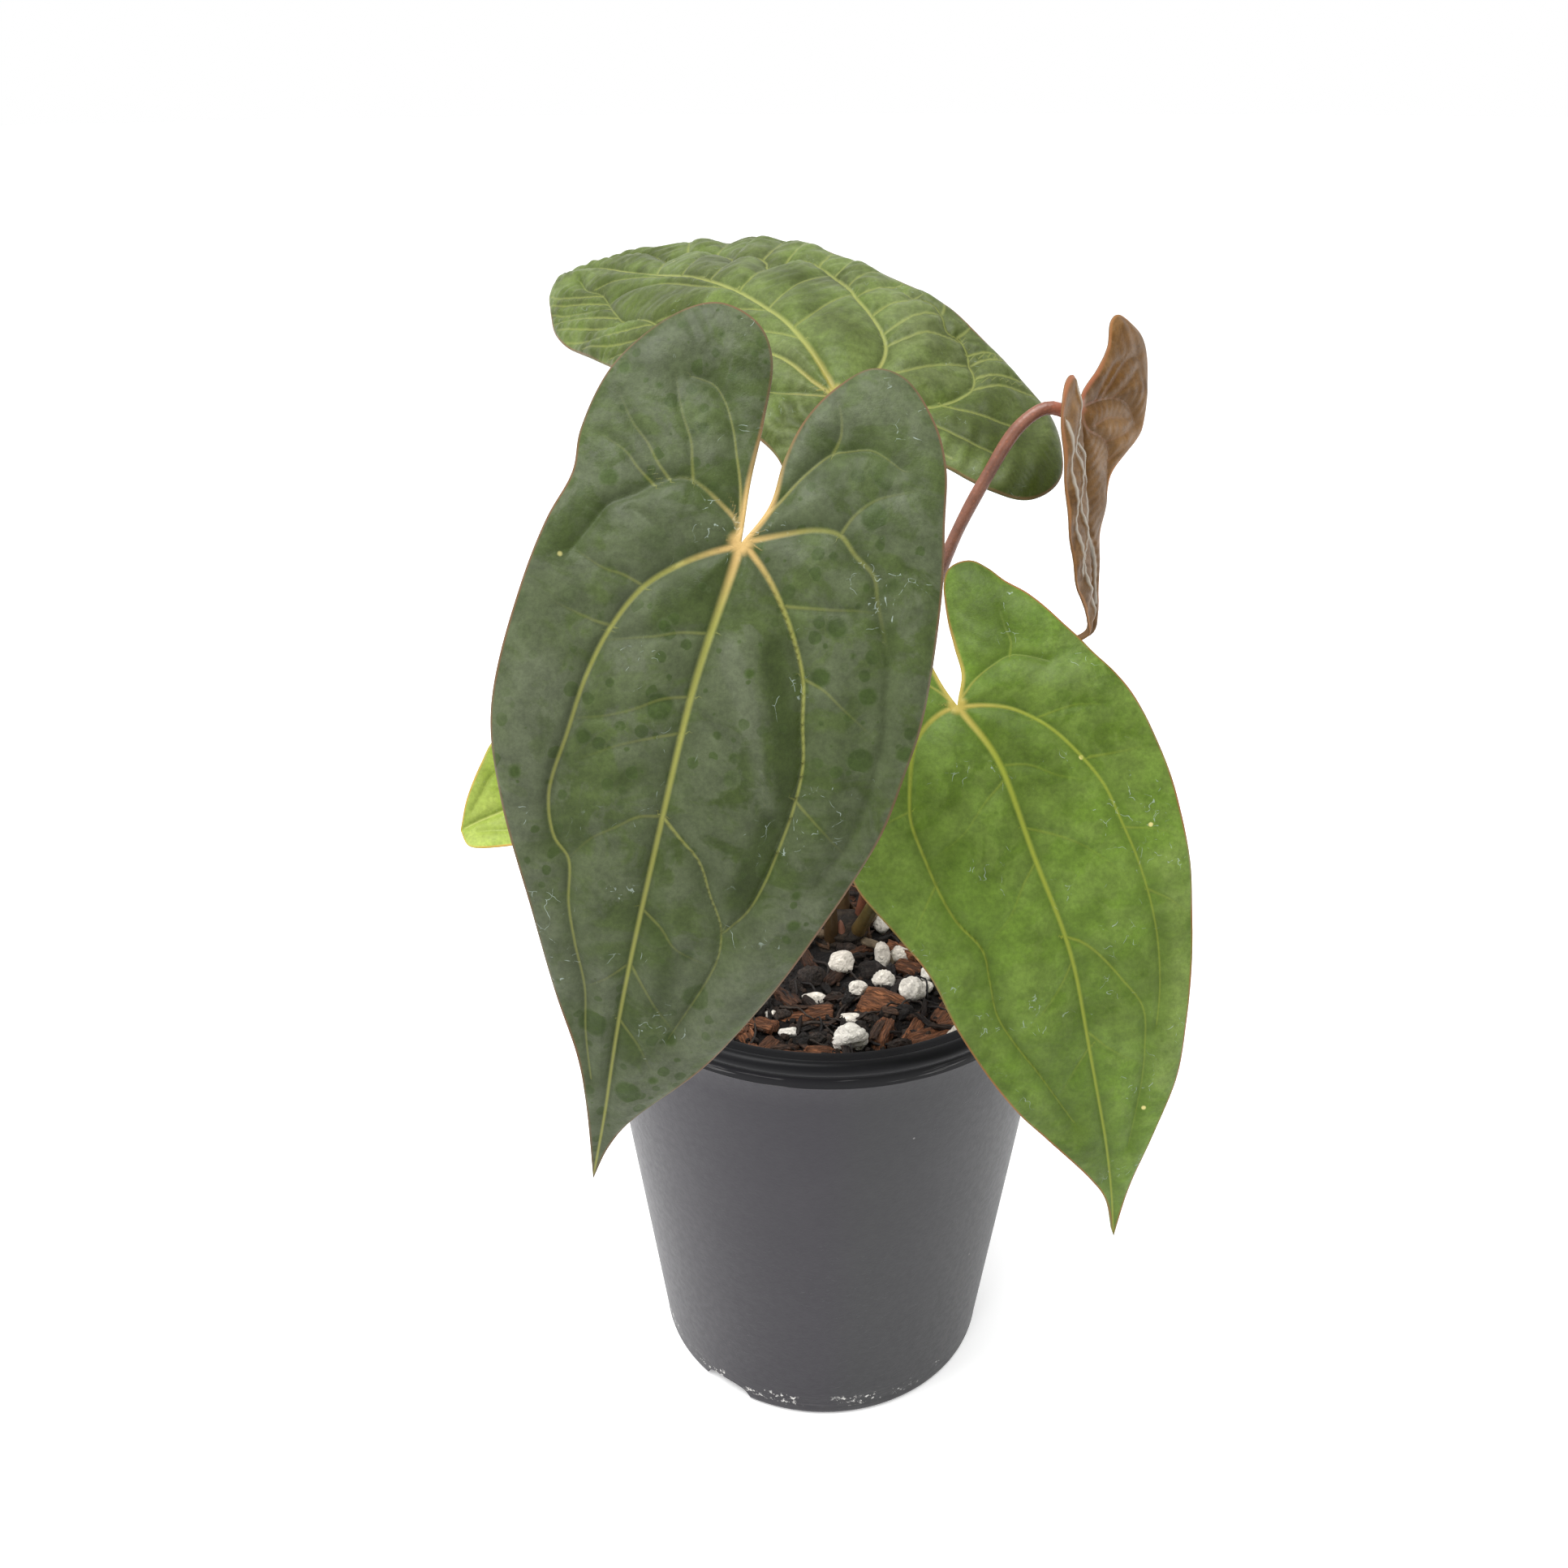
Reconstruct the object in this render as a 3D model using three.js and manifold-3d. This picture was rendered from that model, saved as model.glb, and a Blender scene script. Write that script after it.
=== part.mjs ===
// A velvet-leaved anthurium with five leaves in a plain nursery pot of bark and pumice.
// Millimetres, +Z up, origin at the centre of the pot's underside, -Y towards the viewer.

import * as THREE from 'three';
import { mergeVertices } from 'three/addons/utils/BufferGeometryUtils.js';
import Module from 'manifold-3d';

const wasm = await Module();
wasm.setup();
const { Manifold, Mesh: SolidMesh } = wasm;

// Driving dimensions of the pot
const POT_HEIGHT = 178;
const RIM_RADIUS = 82.5;
const BASE_RADIUS = 62.4;
const STEP_Z = 168.8;
const STEP_RADIUS = 81.3;
const BAND_RADIUS = 81.9;
const GROOVE_Z = 173.2;
const GROOVE_RADIUS = 80.6;
const LIP_INNER_RADIUS = 74.5;
const BEAD_HEIGHT = 4.8;
const WALL = 1.3;
const FLOOR = 1.6;
const POT_SIDES = 48;
const NOTCH_COUNT = 3;
const NOTCH_WIDTH = 22;
const NOTCH_HEIGHT = 6;
const NOTCH_DEPTH = 8;
const NOTCH_FIRST_AZIMUTH = -126;

// Driving dimensions of the growing mix
const CLEARANCE = 0.3;
const MIX_TOP = 160;
const MIX_RELIEF = 1.4;
const MIX_SIDES = 30;
const PIECE_COUNT = 84;
const PUMICE_RADIUS = 4.4;
const BARK_LENGTH = 18;
const BARK_THICKNESS = 3;
const CHAR_LENGTH = 6.4;
const CLEAR_OF_CROWN = 14;
const SEED = 7;

// Driving dimensions of the stem and its leaves
const CROWN = [7, 16];
const CROWN_RADIUS = 10.5;
const CROWN_TOP = 170;
const CROWN_FOOT = 140;
const CROWN_SIDES = 14;
const ROOT_RADIUS = 1.7;
const ROOT_TIP_RADIUS = 1.2;
const ROOT_SIDES = 6;
const ROOT_STEPS = 7;
const BLADE = 0.7;
const SWELLING_LENGTH = 11;
const SHEATH_LENGTH = 30;
const PETIOLE_SIDES = 8;
const PETIOLE_STEPS = 18;

const rad = THREE.MathUtils.degToRad;
const GOLDEN_ANGLE = rad(137.5);

// Repeatable random numbers between 0 and 1
function dice(seed) {
  let state = seed;
  return () => {
    state = (state * 1664525 + 1013904223) % 4294967296;
    return state / 4294967296;
  };
}

// A closed three.js geometry as a solid that can be joined and cut
function solidOf(geometry) {
  let bare = geometry.clone();
  for (const name of ['normal', 'uv', 'color']) bare.deleteAttribute(name);
  bare = mergeVertices(bare, 1e-4);
  const index = bare.index.array;
  const kept = [];
  for (let i = 0; i < index.length; i += 3) {
    const [a, b, c] = [index[i], index[i + 1], index[i + 2]];
    if (a !== b && b !== c && c !== a) kept.push(a, b, c);
  }
  return new Manifold(new SolidMesh({
    numProp: 3,
    vertProperties: Float32Array.from(bare.attributes.position.array),
    triVerts: Uint32Array.from(kept),
  }));
}

// A solid as a three.js geometry
function geometryOf(solid) {
  const { vertProperties, triVerts } = solid.getMesh();
  const geometry = new THREE.BufferGeometry();
  geometry.setAttribute('position', new THREE.BufferAttribute(Float32Array.from(vertProperties), 3));
  geometry.setIndex(Array.from(triVerts));
  geometry.computeVertexNormals();
  return geometry;
}

// The largest separate body of a solid
function mainBody(solid) {
  const bodies = solid.decompose();
  bodies.sort((a, b) => b.volume() - a.volume());
  return bodies[0];
}

// Rings of points, each ring a list of Vector3, joined into a closed skin with a fan at both ends
function skinOf(rings) {
  const sides = rings[0].length;
  const points = rings.flat();
  const index = [];
  for (let i = 0; i + 1 < rings.length; i += 1) {
    for (let j = 0; j < sides; j += 1) {
      const a = i * sides + j;
      const b = i * sides + ((j + 1) % sides);
      index.push(a, b, b + sides, a, b + sides, a + sides);
    }
  }
  for (const [row, flip] of [[0, true], [rings.length - 1, false]]) {
    const middle = new THREE.Vector3();
    for (const point of rings[row]) middle.addScaledVector(point, 1 / sides);
    points.push(middle);
    const centre = points.length - 1;
    for (let j = 0; j < sides; j += 1) {
      const a = row * sides + j;
      const b = row * sides + ((j + 1) % sides);
      index.push(...(flip ? [centre, b, a] : [centre, a, b]));
    }
  }
  const geometry = new THREE.BufferGeometry().setFromPoints(points);
  geometry.setIndex(index);
  return geometry;
}

// A round stalk along a curve, with a radius for each share of its length from 0 to 1
function stalkAlong(curve, radiusAt, sides, steps) {
  const { normals, binormals } = curve.computeFrenetFrames(steps, false);
  const rings = [];
  for (let i = 0; i <= steps; i += 1) {
    const centre = curve.getPointAt(i / steps);
    const radius = radiusAt(i / steps);
    const ring = [];
    for (let j = 0; j < sides; j += 1) {
      const angle = (2 * Math.PI * j) / sides;
      ring.push(centre.clone()
        .addScaledVector(normals[i], radius * Math.cos(angle))
        .addScaledVector(binormals[i], radius * Math.sin(angle)));
    }
    rings.push(ring);
  }
  return skinOf(rings);
}

// The cubic through a row of points, read by its length in mm from the point at `zero`
function railOf(rows, zero) {
  const points = rows.map((row) => new THREE.Vector3(...row));
  const knots = [0];
  for (let i = 1; i < points.length; i += 1) {
    knots.push(knots[i - 1] + points[i].distanceTo(points[i - 1]));
  }
  const start = knots[zero];
  for (let i = 0; i < knots.length; i += 1) knots[i] -= start;
  const last = points.length - 1;
  const slope = (i) => points[i + 1].clone().sub(points[i]).divideScalar(knots[i + 1] - knots[i]);
  const slopes = points.map((_, i) => {
    if (i === 0) return slope(0);
    if (i === last) return slope(last - 1);
    const before = knots[i] - knots[i - 1];
    const after = knots[i + 1] - knots[i];
    return slope(i - 1).multiplyScalar(after).add(slope(i).multiplyScalar(before))
      .divideScalar(before + after);
  });
  const at = (length) => {
    const inside = THREE.MathUtils.clamp(length, knots[0], knots[last]);
    let i = 0;
    while (i < last - 1 && inside > knots[i + 1]) i += 1;
    const h = knots[i + 1] - knots[i];
    const t = (inside - knots[i]) / h;
    const place = new THREE.Vector3()
      .addScaledVector(points[i], 2 * t ** 3 - 3 * t ** 2 + 1)
      .addScaledVector(slopes[i], (t ** 3 - 2 * t ** 2 + t) * h)
      .addScaledVector(points[i + 1], -2 * t ** 3 + 3 * t ** 2)
      .addScaledVector(slopes[i + 1], (t ** 3 - t ** 2) * h);
    const heading = new THREE.Vector3()
      .addScaledVector(points[i], (6 * t ** 2 - 6 * t) / h)
      .addScaledVector(slopes[i], 3 * t ** 2 - 4 * t + 1)
      .addScaledVector(points[i + 1], (6 * t - 6 * t ** 2) / h)
      .addScaledVector(slopes[i + 1], 3 * t ** 2 - 2 * t);
    place.addScaledVector(heading, length - inside);
    return { place, heading: heading.normalize() };
  };
  return { at, length: knots[last] };
}

// Outer radius of the pot's tapered wall at a height
const wallRadius = (z) => BASE_RADIUS + (STEP_RADIUS - BASE_RADIUS) * (z / STEP_Z);

// Pot: a blow-moulded shell with a rolled rim, an inward lip and drain notches round its foot
function makePot() {
  const outline = [[0, 0], [BASE_RADIUS - 2, 0], [BASE_RADIUS - 0.6, 0.6], [wallRadius(2), 2]];
  outline.push([wallRadius(60), 60], [wallRadius(115), 115]);
  outline.push([STEP_RADIUS, STEP_Z], [BAND_RADIUS, STEP_Z + 0.3], [BAND_RADIUS, GROOVE_Z - 0.5]);
  outline.push([GROOVE_RADIUS, GROOVE_Z], [GROOVE_RADIUS + 0.5, GROOVE_Z + 0.7]);
  const beadRadius = BEAD_HEIGHT - 2.2;
  const beadCentre = [RIM_RADIUS - beadRadius, POT_HEIGHT - beadRadius];
  for (const degrees of [-25, 0, 25, 50, 75, 100]) {
    const angle = rad(degrees);
    outline.push([
      beadCentre[0] + beadRadius * Math.cos(angle),
      beadCentre[1] + beadRadius * Math.sin(angle),
    ]);
  }
  outline.push([LIP_INNER_RADIUS, POT_HEIGHT - 0.3], [LIP_INNER_RADIUS, POT_HEIGHT - 0.3 - WALL]);
  outline.push([RIM_RADIUS - 5, POT_HEIGHT - 0.6 - WALL], [GROOVE_RADIUS - WALL, GROOVE_Z]);
  outline.push([wallRadius(STEP_Z) - WALL, STEP_Z], [wallRadius(FLOOR) - WALL, FLOOR], [0, FLOOR]);
  const profile = outline.map(([radius, z]) => new THREE.Vector2(radius, z));
  let pot = solidOf(new THREE.LatheGeometry(profile, POT_SIDES).rotateX(Math.PI / 2));
  for (let i = 0; i < NOTCH_COUNT; i += 1) {
    const arch = new THREE.Shape();
    const half = NOTCH_WIDTH / 2;
    arch.moveTo(-half, -2);
    arch.lineTo(half, -2);
    arch.lineTo(half - 1, NOTCH_HEIGHT - 3.5);
    arch.lineTo(half - 4.5, NOTCH_HEIGHT);
    arch.lineTo(-half + 4.5, NOTCH_HEIGHT);
    arch.lineTo(-half + 1, NOTCH_HEIGHT - 3.5);
    arch.closePath();
    const cutter = new THREE.ExtrudeGeometry(arch, { depth: NOTCH_DEPTH + 10, bevelEnabled: false });
    cutter.rotateX(Math.PI / 2).rotateZ(Math.PI / 2);
    cutter.translate(BASE_RADIUS - NOTCH_DEPTH, 0, 0);
    cutter.rotateZ(rad(NOTCH_FIRST_AZIMUTH + (360 / NOTCH_COUNT) * i));
    pot = pot.subtract(solidOf(cutter));
  }
  return pot;
}

// Crown: the short stem, standing in its hole in the mix, with stout aerial roots
const ROOTS = [
  [[-3, -5, 165], [-12, -7, 166], [-16, -8, 160], [-17, -8, 152]],
  [[6, -6, 163], [13, -12, 164], [17, -15, 159], [18, -16, 151]],
  [[7, 4, 164], [15, 6, 165], [20, 8, 160], [21, 9, 152]],
  [[-2, 8, 163], [-6, 15, 164], [-9, 19, 158], [-10, 20, 151]],
];

function makeCrown(extra) {
  const outline = [
    [0, CROWN_FOOT - extra], [CROWN_RADIUS - 2 + extra, CROWN_FOOT - extra],
    [CROWN_RADIUS + extra, CROWN_FOOT + 8], [CROWN_RADIUS + 0.6 + extra, 158],
    [CROWN_RADIUS - 0.4 + extra, 161], [CROWN_RADIUS + 0.4 + extra, 165],
    [CROWN_RADIUS - 1.5 + extra, 169 + extra], [4, CROWN_TOP + 1 + extra], [0, CROWN_TOP + 1.6 + extra],
  ];
  const profile = outline.map(([radius, z]) => new THREE.Vector2(radius, z));
  let crown = solidOf(new THREE.LatheGeometry(profile, CROWN_SIDES).rotateX(Math.PI / 2));
  for (const route of ROOTS) {
    const curve = new THREE.CatmullRomCurve3(route.map((row) => new THREE.Vector3(...row)));
    const radiusAt = (t) => THREE.MathUtils.lerp(ROOT_RADIUS, ROOT_TIP_RADIUS, t) + extra;
    crown = crown.add(solidOf(stalkAlong(curve, radiusAt, ROOT_SIDES, ROOT_STEPS)));
  }
  return crown.translate([...CROWN, 0]);
}

// Growing mix: a filling with an uneven top, out of which chips of bark, pumice and char stand
function makeMix() {
  const sideRadius = (z) => wallRadius(z) - WALL - CLEARANCE;
  const footRadius = BASE_RADIUS - NOTCH_DEPTH - 1;
  const footTop = NOTCH_HEIGHT + 1.5;
  const outline = [[0, FLOOR + CLEARANCE], [footRadius, FLOOR + CLEARANCE], [footRadius, footTop]];
  outline.push([sideRadius(footTop), footTop], [sideRadius(MIX_TOP - 3), MIX_TOP - 3]);
  for (const radius of [70, 60, 50, 40, 30, 20, 10, 0]) outline.push([radius, MIX_TOP]);
  const profile = outline.map(([radius, z]) => new THREE.Vector2(radius, z));
  const filling = new THREE.LatheGeometry(profile, MIX_SIDES).rotateX(Math.PI / 2);
  const places = filling.attributes.position;
  for (let i = 0; i < places.count; i += 1) {
    const [x, y, z] = [places.getX(i), places.getY(i), places.getZ(i)];
    if (z < MIX_TOP - 1) continue;
    const swell = Math.sin(x / 7 + 1) * Math.cos(y / 8) + 0.6 * Math.sin(x / 3.1 - y / 4.3);
    places.setZ(i, z + MIX_RELIEF * swell);
  }
  let mix = solidOf(filling);
  const roll = dice(SEED);
  // Places turn by the golden angle and step outwards evenly, so the pieces cover the whole top.
  // Four in ten are pumice, four bark and two char.
  for (let i = 0; i < PIECE_COUNT; i += 1) {
    const kind = (i * 7) % 10;
    const size = 0.7 + 0.6 * roll();
    let piece;
    let halfLength;
    if (kind < 4) {
      halfLength = PUMICE_RADIUS * size;
      piece = new THREE.IcosahedronGeometry(halfLength, 0);
      piece.scale(1, 0.8 + 0.3 * roll(), 0.75 + 0.2 * roll());
    } else if (kind < 8) {
      halfLength = (BARK_LENGTH * size) / 2;
      piece = new THREE.BoxGeometry(2 * halfLength, halfLength * (0.7 + 0.5 * roll()), BARK_THICKNESS);
    } else {
      halfLength = (CHAR_LENGTH * size) / 2;
      piece = new THREE.BoxGeometry(2 * halfLength, 1.25 * halfLength, 1.5 * halfLength);
    }
    piece.rotateZ(Math.PI * roll());
    piece.rotateX(0.5 * (roll() - 0.5));
    piece.rotateY(0.7 * (roll() - 0.5));
    const share = (i + 0.5 + 0.6 * (roll() - 0.5)) / PIECE_COUNT;
    const angle = i * GOLDEN_ANGLE + 0.5 * (roll() - 0.5);
    const reach = LIP_INNER_RADIUS - 3 - halfLength;
    const radius = CLEAR_OF_CROWN + (reach - CLEAR_OF_CROWN) * Math.sqrt(share);
    const lift = 0.3 + 1.4 * roll();
    piece.translate(radius * Math.cos(angle), radius * Math.sin(angle), MIX_TOP + lift);
    mix = mix.add(solidOf(piece));
  }
  return mainBody(mix);
}

// Leaves. Each blade is laid out flat first: `s` runs along the midrib from the sinus, where the
// stalk joins, to the drip tip, and is negative in the two basal lobes; `w` runs across it.
// `rail` is the midrib's route through space, from between the lobes, through the sinus, to the tip.
// `across` is the direction of +w at the sinus and at the tip. `fold` tilts a half up from the
// midrib in radians, and `cup` bends it further, per mm. `margin` and `notch` are the half's outer
// edge and its edge along the sinus, both from the lobe. `quilt` is the height of the blade between
// its sunken veins, and `ripples` the number of folds across the half.
const LEAVES = {
  front: {
    rail: [[-13, -108, 399], [-23, -135, 359], [-34, -148, 327], [-46, -158, 282], [-56, -160, 236],
      [-62, -156, 203]],
    across: [[1, 0, 0.06], [1, 0, 0.25]],
    left: {
      fold: 0.06,
      cup: -0.0012,
      margin: [[-51, -15], [-47, -24], [-34, -35], [-18, -39], [-7, -38.5], [7, -41], [24, -42], [48, -41],
        [65, -35], [90, -23], [108, -15], [124, -8], [137, -4.5], [165, 0]],
      notch: [[0, 0], [-13, -1], [-27, -0.8], [-41, -1.6], [-48, -6], [-51, -15]],
    },
    right: {
      fold: 0.06,
      cup: -0.0012,
      margin: [[-42, 20], [-41, 27], [-32, 35], [-23, 39], [-12, 41], [1, 44], [24, 48], [38, 48], [52, 47],
        [66, 43.5], [80, 39], [93, 34.5], [108, 28], [122, 21], [143, 6.5], [153, 2.5], [165, 0]],
      notch: [[0, 0], [-9, 4], [-19, 5], [-28, 7.6], [-36, 12.7], [-42, 20]],
    },
    rows: 26,
    columns: 7,
    quilt: 1.1,
    ripples: 5,
    ripple: 0.5,
    colour: 0x4d5b49,
    roughness: 0.55,
  },
  right: {
    rail: [[27, -46, 324], [33, -72, 293], [43, -82, 281], [54, -94, 255], [66, -103, 224], [76, -109, 178],
      [84, -108, 135]],
    across: [[0.95, 0.12, 0.35], [0.95, 0.25, 0.3]],
    left: {
      fold: 0.08,
      cup: -0.001,
      margin: [[-38, -21], [-34, -28], [-25, -34], [-12, -38], [0, -41], [15, -45], [30, -48], [39, -48],
        [53, -42], [66, -38], [85, -36], [103, -31], [118, -24], [129, -17], [148, -6], [159, -1.5], [175, 0]],
      notch: [[0, 0], [-12, -3], [-21, -5.5], [-30, -9], [-36, -14], [-38, -21]],
    },
    right: {
      fold: 0.08,
      cup: -0.001,
      margin: [[-40, 9], [-38, 14], [-30, 25], [-16, 36], [0, 38], [16, 39], [27, 41], [41, 41.7], [62, 39.4],
        [77, 35], [102, 28], [121, 23], [139, 14.7], [156, 6.4], [175, 0]],
      notch: [[0, 0], [-7, 4.2], [-17, 5.6], [-28, 4.2], [-36, 4], [-40, 9]],
    },
    rows: 26,
    columns: 7,
    quilt: 1.1,
    ripples: 5,
    ripple: 0.5,
    colour: 0x4f7a2f,
    roughness: 0.5,
  },
  top: {
    rail: [[14, -16, 338], [2, 14, 359], [-5, 28, 369], [-20, 58, 377], [-40, 92, 381], [-63, 126, 378],
      [-97, 168, 373], [-104, 176, 369]],
    across: [[-0.86, -0.46, -0.25], [-0.86, -0.46, -0.25]],
    left: {
      fold: 0,
      cup: -0.001,
      margin: [[-54, -40], [-53, -48], [-48, -55], [-37, -60], [-22, -62], [-6, -58], [12, -53], [34, -45],
        [66, -41], [85, -40.5], [129, -41], [160, -27], [184, -10], [199, 0]],
      notch: [[0, 0], [-12, -4], [-25, -12], [-36, -21], [-48, -31], [-54, -40]],
    },
    right: {
      fold: -0.3,
      cup: -0.0015,
      margin: [[-50, 5], [-54, 11], [-50, 18], [-40, 23], [-28, 24], [-14, 24], [0, 28], [25, 36], [58, 43],
        [92, 44.7], [131, 41], [155, 35], [177, 22], [184, 17], [193, 8], [199, 0]],
      notch: [[0, 0], [-14, 0.8], [-28, 1.2], [-42, 2], [-50, 5]],
    },
    rows: 30,
    columns: 7,
    quilt: 1.6,
    ripples: 9,
    ripple: 0.9,
    colour: 0x6d8a52,
    roughness: 0.5,
  },
  new: {
    rail: [[67.7, -14, 380], [70, -18, 361], [72.5, -20, 342], [75, -21, 324], [77.5, -22, 308],
      [78.6, -22, 300], [78, -22.5, 294.5], [74.8, -23, 292.8], [71, -23, 294]],
    across: [[0.6, 0.8, 0], [0.6, 0.8, 0]],
    left: {
      fold: 0.2,
      cup: 0,
      margin: [[-9, -5], [-8.4, -10], [-4.5, -16], [3, -19], [11, -19], [20, -19], [30, -18], [38, -16.5],
        [46, -15.5], [57, -8], [65, -2.6], [73, 0]],
      notch: [[0, 0], [-3.6, -1], [-6.5, -1.6], [-9, -5]],
    },
    right: {
      fold: 0.15,
      cup: 0,
      margin: [[-24, 21], [-21, 28], [-17, 33], [-11, 35], [0, 34], [12, 31], [15, 27], [17, 22.5], [22, 14],
        [26, 11.5], [31, 10], [38, 6.5], [44, 5.4], [50, 3.8], [59, 2], [73, 0]],
      notch: [[0, 0], [-4, 2], [-10, 10], [-16, 15.7], [-22, 17.6], [-24, 21]],
    },
    rows: 22,
    columns: 5,
    quilt: 1.2,
    ripples: 6,
    ripple: 0.7,
    colour: 0x6f5436,
    roughness: 0.4,
  },
  small: {
    rail: [[-83, 14, 229], [-92, 6, 228], [-101, 0, 227], [-109, -5, 225], [-116, -8, 223], [-121, -10, 221]],
    across: [[0.1, -0.5, -0.85], [0.1, -0.5, -0.85]],
    left: {
      fold: 0.1,
      cup: 0,
      margin: [[-12, -12], [-10, -17], [-5, -21.5], [3, -24], [13, -22.6], [20, -17.4], [26, -12], [30, -7],
        [33.4, -2.7], [35.5, 0]],
      notch: [[0, 0], [-5, -2], [-10, -5.5], [-12, -12]],
    },
    right: {
      fold: 0.5,
      cup: 0,
      margin: [[-10, 9], [-7, 13], [2, 15.6], [12, 15.6], [23, 13.6], [32, 10], [35.4, 6.6], [35.5, 0]],
      notch: [[0, 0], [-5, 2], [-9, 4.5], [-10, 9]],
    },
    rows: 14,
    columns: 4,
    quilt: 0.5,
    ripples: 3,
    ripple: 0.2,
    colour: 0x8fa83a,
    roughness: 0.45,
  },
};

// Share of the rows that lie between the tip and the sinus, and where the collective vein runs
const MIDRIB_SHARE = 0.7;
const COLLECTIVE_VEIN = 0.6;

// A point of the bent blade for its flat place (s, w), with the direction square to the blade
function bladeSurface(leaf) {
  const rail = railOf(leaf.rail, 1);
  const [acrossSinus, acrossTip] = leaf.across.map((row) => new THREE.Vector3(...row));
  const at = (s, w) => {
    const { place, heading } = rail.at(s);
    const share = THREE.MathUtils.clamp(s / rail.length, 0, 1);
    const side = acrossSinus.clone().lerp(acrossTip, share);
    side.addScaledVector(heading, -side.dot(heading)).normalize();
    const up = new THREE.Vector3().crossVectors(heading, side);
    const half = w > 0 ? leaf.right : leaf.left;
    const rise = Math.sin(half.fold) * Math.abs(w) + half.cup * w * w;
    return place.addScaledVector(side, w * Math.cos(half.fold)).addScaledVector(up, rise);
  };
  const squareTo = (s, w) => {
    const step = w < 0 ? -0.5 : 0.5;
    const along = at(s + 0.5, w).sub(at(s - 0.5, w));
    const across = at(s, w + step).sub(at(s, w)).multiplyScalar(Math.sign(step));
    return along.cross(across).normalize();
  };
  return { at, squareTo };
}

// Flat places of one half, row by row from the tip to the lobe, column by column from the midrib
function halfPlaces(leaf, half) {
  const tip = half.margin.at(-1)[0];
  const curveOf = (rows) => new THREE.CatmullRomCurve3(rows.map(([s, w]) => new THREE.Vector3(s, w, 0)));
  const outer = curveOf([...half.margin].reverse()).getSpacedPoints(leaf.rows);
  const sinusRow = Math.round(leaf.rows * MIDRIB_SHARE);
  const inner = [];
  for (let i = 0; i <= sinusRow; i += 1) inner.push(new THREE.Vector3(tip * (1 - i / sinusRow), 0, 0));
  inner.push(...curveOf(half.notch).getSpacedPoints(leaf.rows - sinusRow).slice(1));
  const places = inner.map((from, i) => {
    const row = [];
    for (let j = 0; j <= leaf.columns; j += 1) row.push(from.clone().lerp(outer[i], j / leaf.columns));
    return row;
  });
  return { places, sinusRow };
}

// Height of the quilted blade at a share `u` from midrib to margin and `v` from tip to lobe
function quiltHeight(leaf, u, v) {
  const fade = Math.min(1, 5 * v, 5 * (1 - v));
  const inside = u < COLLECTIVE_VEIN;
  const share = inside ? u / COLLECTIVE_VEIN : (u - COLLECTIVE_VEIN) / (1 - COLLECTIVE_VEIN);
  const bulge = Math.sin(Math.PI * share);
  const folds = Math.cos(2 * Math.PI * leaf.ripples * (v + 0.12 * u));
  const height = (inside ? leaf.quilt : 0.6 * leaf.quilt) * bulge + leaf.ripple * folds * Math.sqrt(u);
  return fade * height;
}

// Blade: both faces of both halves, split alike, with their edges closed
function makeBlade(leaf) {
  const { at, squareTo } = bladeSurface(leaf);
  const corners = [];
  const triangle = (a, b, c, turned) => corners.push(...(turned ? [a, b, c] : [a, c, b]));
  const quad = (a, b, c, d, turned) => {
    triangle(a, b, c, turned);
    triangle(a, c, d, turned);
  };
  let midrib;
  for (const [half, turned] of [[leaf.left, false], [leaf.right, true]]) {
    const { places, sinusRow } = halfPlaces(leaf, half);
    const faces = [1, -1].map((side) => places.map((row, i) => row.map((flat, j) => {
      const lift = quiltHeight(leaf, j / leaf.columns, i / leaf.rows) + (side * BLADE) / 2;
      return at(flat.x, flat.y).addScaledVector(squareTo(flat.x, flat.y), lift);
    })));
    // Both halves meet on the midrib, so its points are worked out once, from the left half
    midrib ??= faces.map((face) => face.slice(0, sinusRow + 1).map((row) => row[0]));
    midrib.forEach((line, k) => line.forEach((point, i) => { faces[k][i][0] = point; }));
    const [upper, lower] = faces;
    // The tip is one point of each face, shared by both halves
    for (const face of faces) face[0] = face[0].map(() => face[0][0]);
    for (const face of faces) face[leaf.rows] = face[leaf.rows].map(() => face[leaf.rows][0]);
    for (let i = 0; i < leaf.rows; i += 1) {
      for (let j = 0; j < leaf.columns; j += 1) {
        quad(upper[i][j], upper[i][j + 1], upper[i + 1][j + 1], upper[i + 1][j], turned);
        quad(lower[i][j], lower[i][j + 1], lower[i + 1][j + 1], lower[i + 1][j], !turned);
      }
      const last = leaf.columns;
      quad(upper[i][last], lower[i][last], lower[i + 1][last], upper[i + 1][last], turned);
      if (i >= sinusRow) quad(upper[i][0], lower[i][0], lower[i + 1][0], upper[i + 1][0], !turned);
    }
  }
  const geometry = new THREE.BufferGeometry().setFromPoints(corners);
  geometry.setIndex(corners.map((_, i) => i));
  return solidOf(geometry);
}

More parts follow.
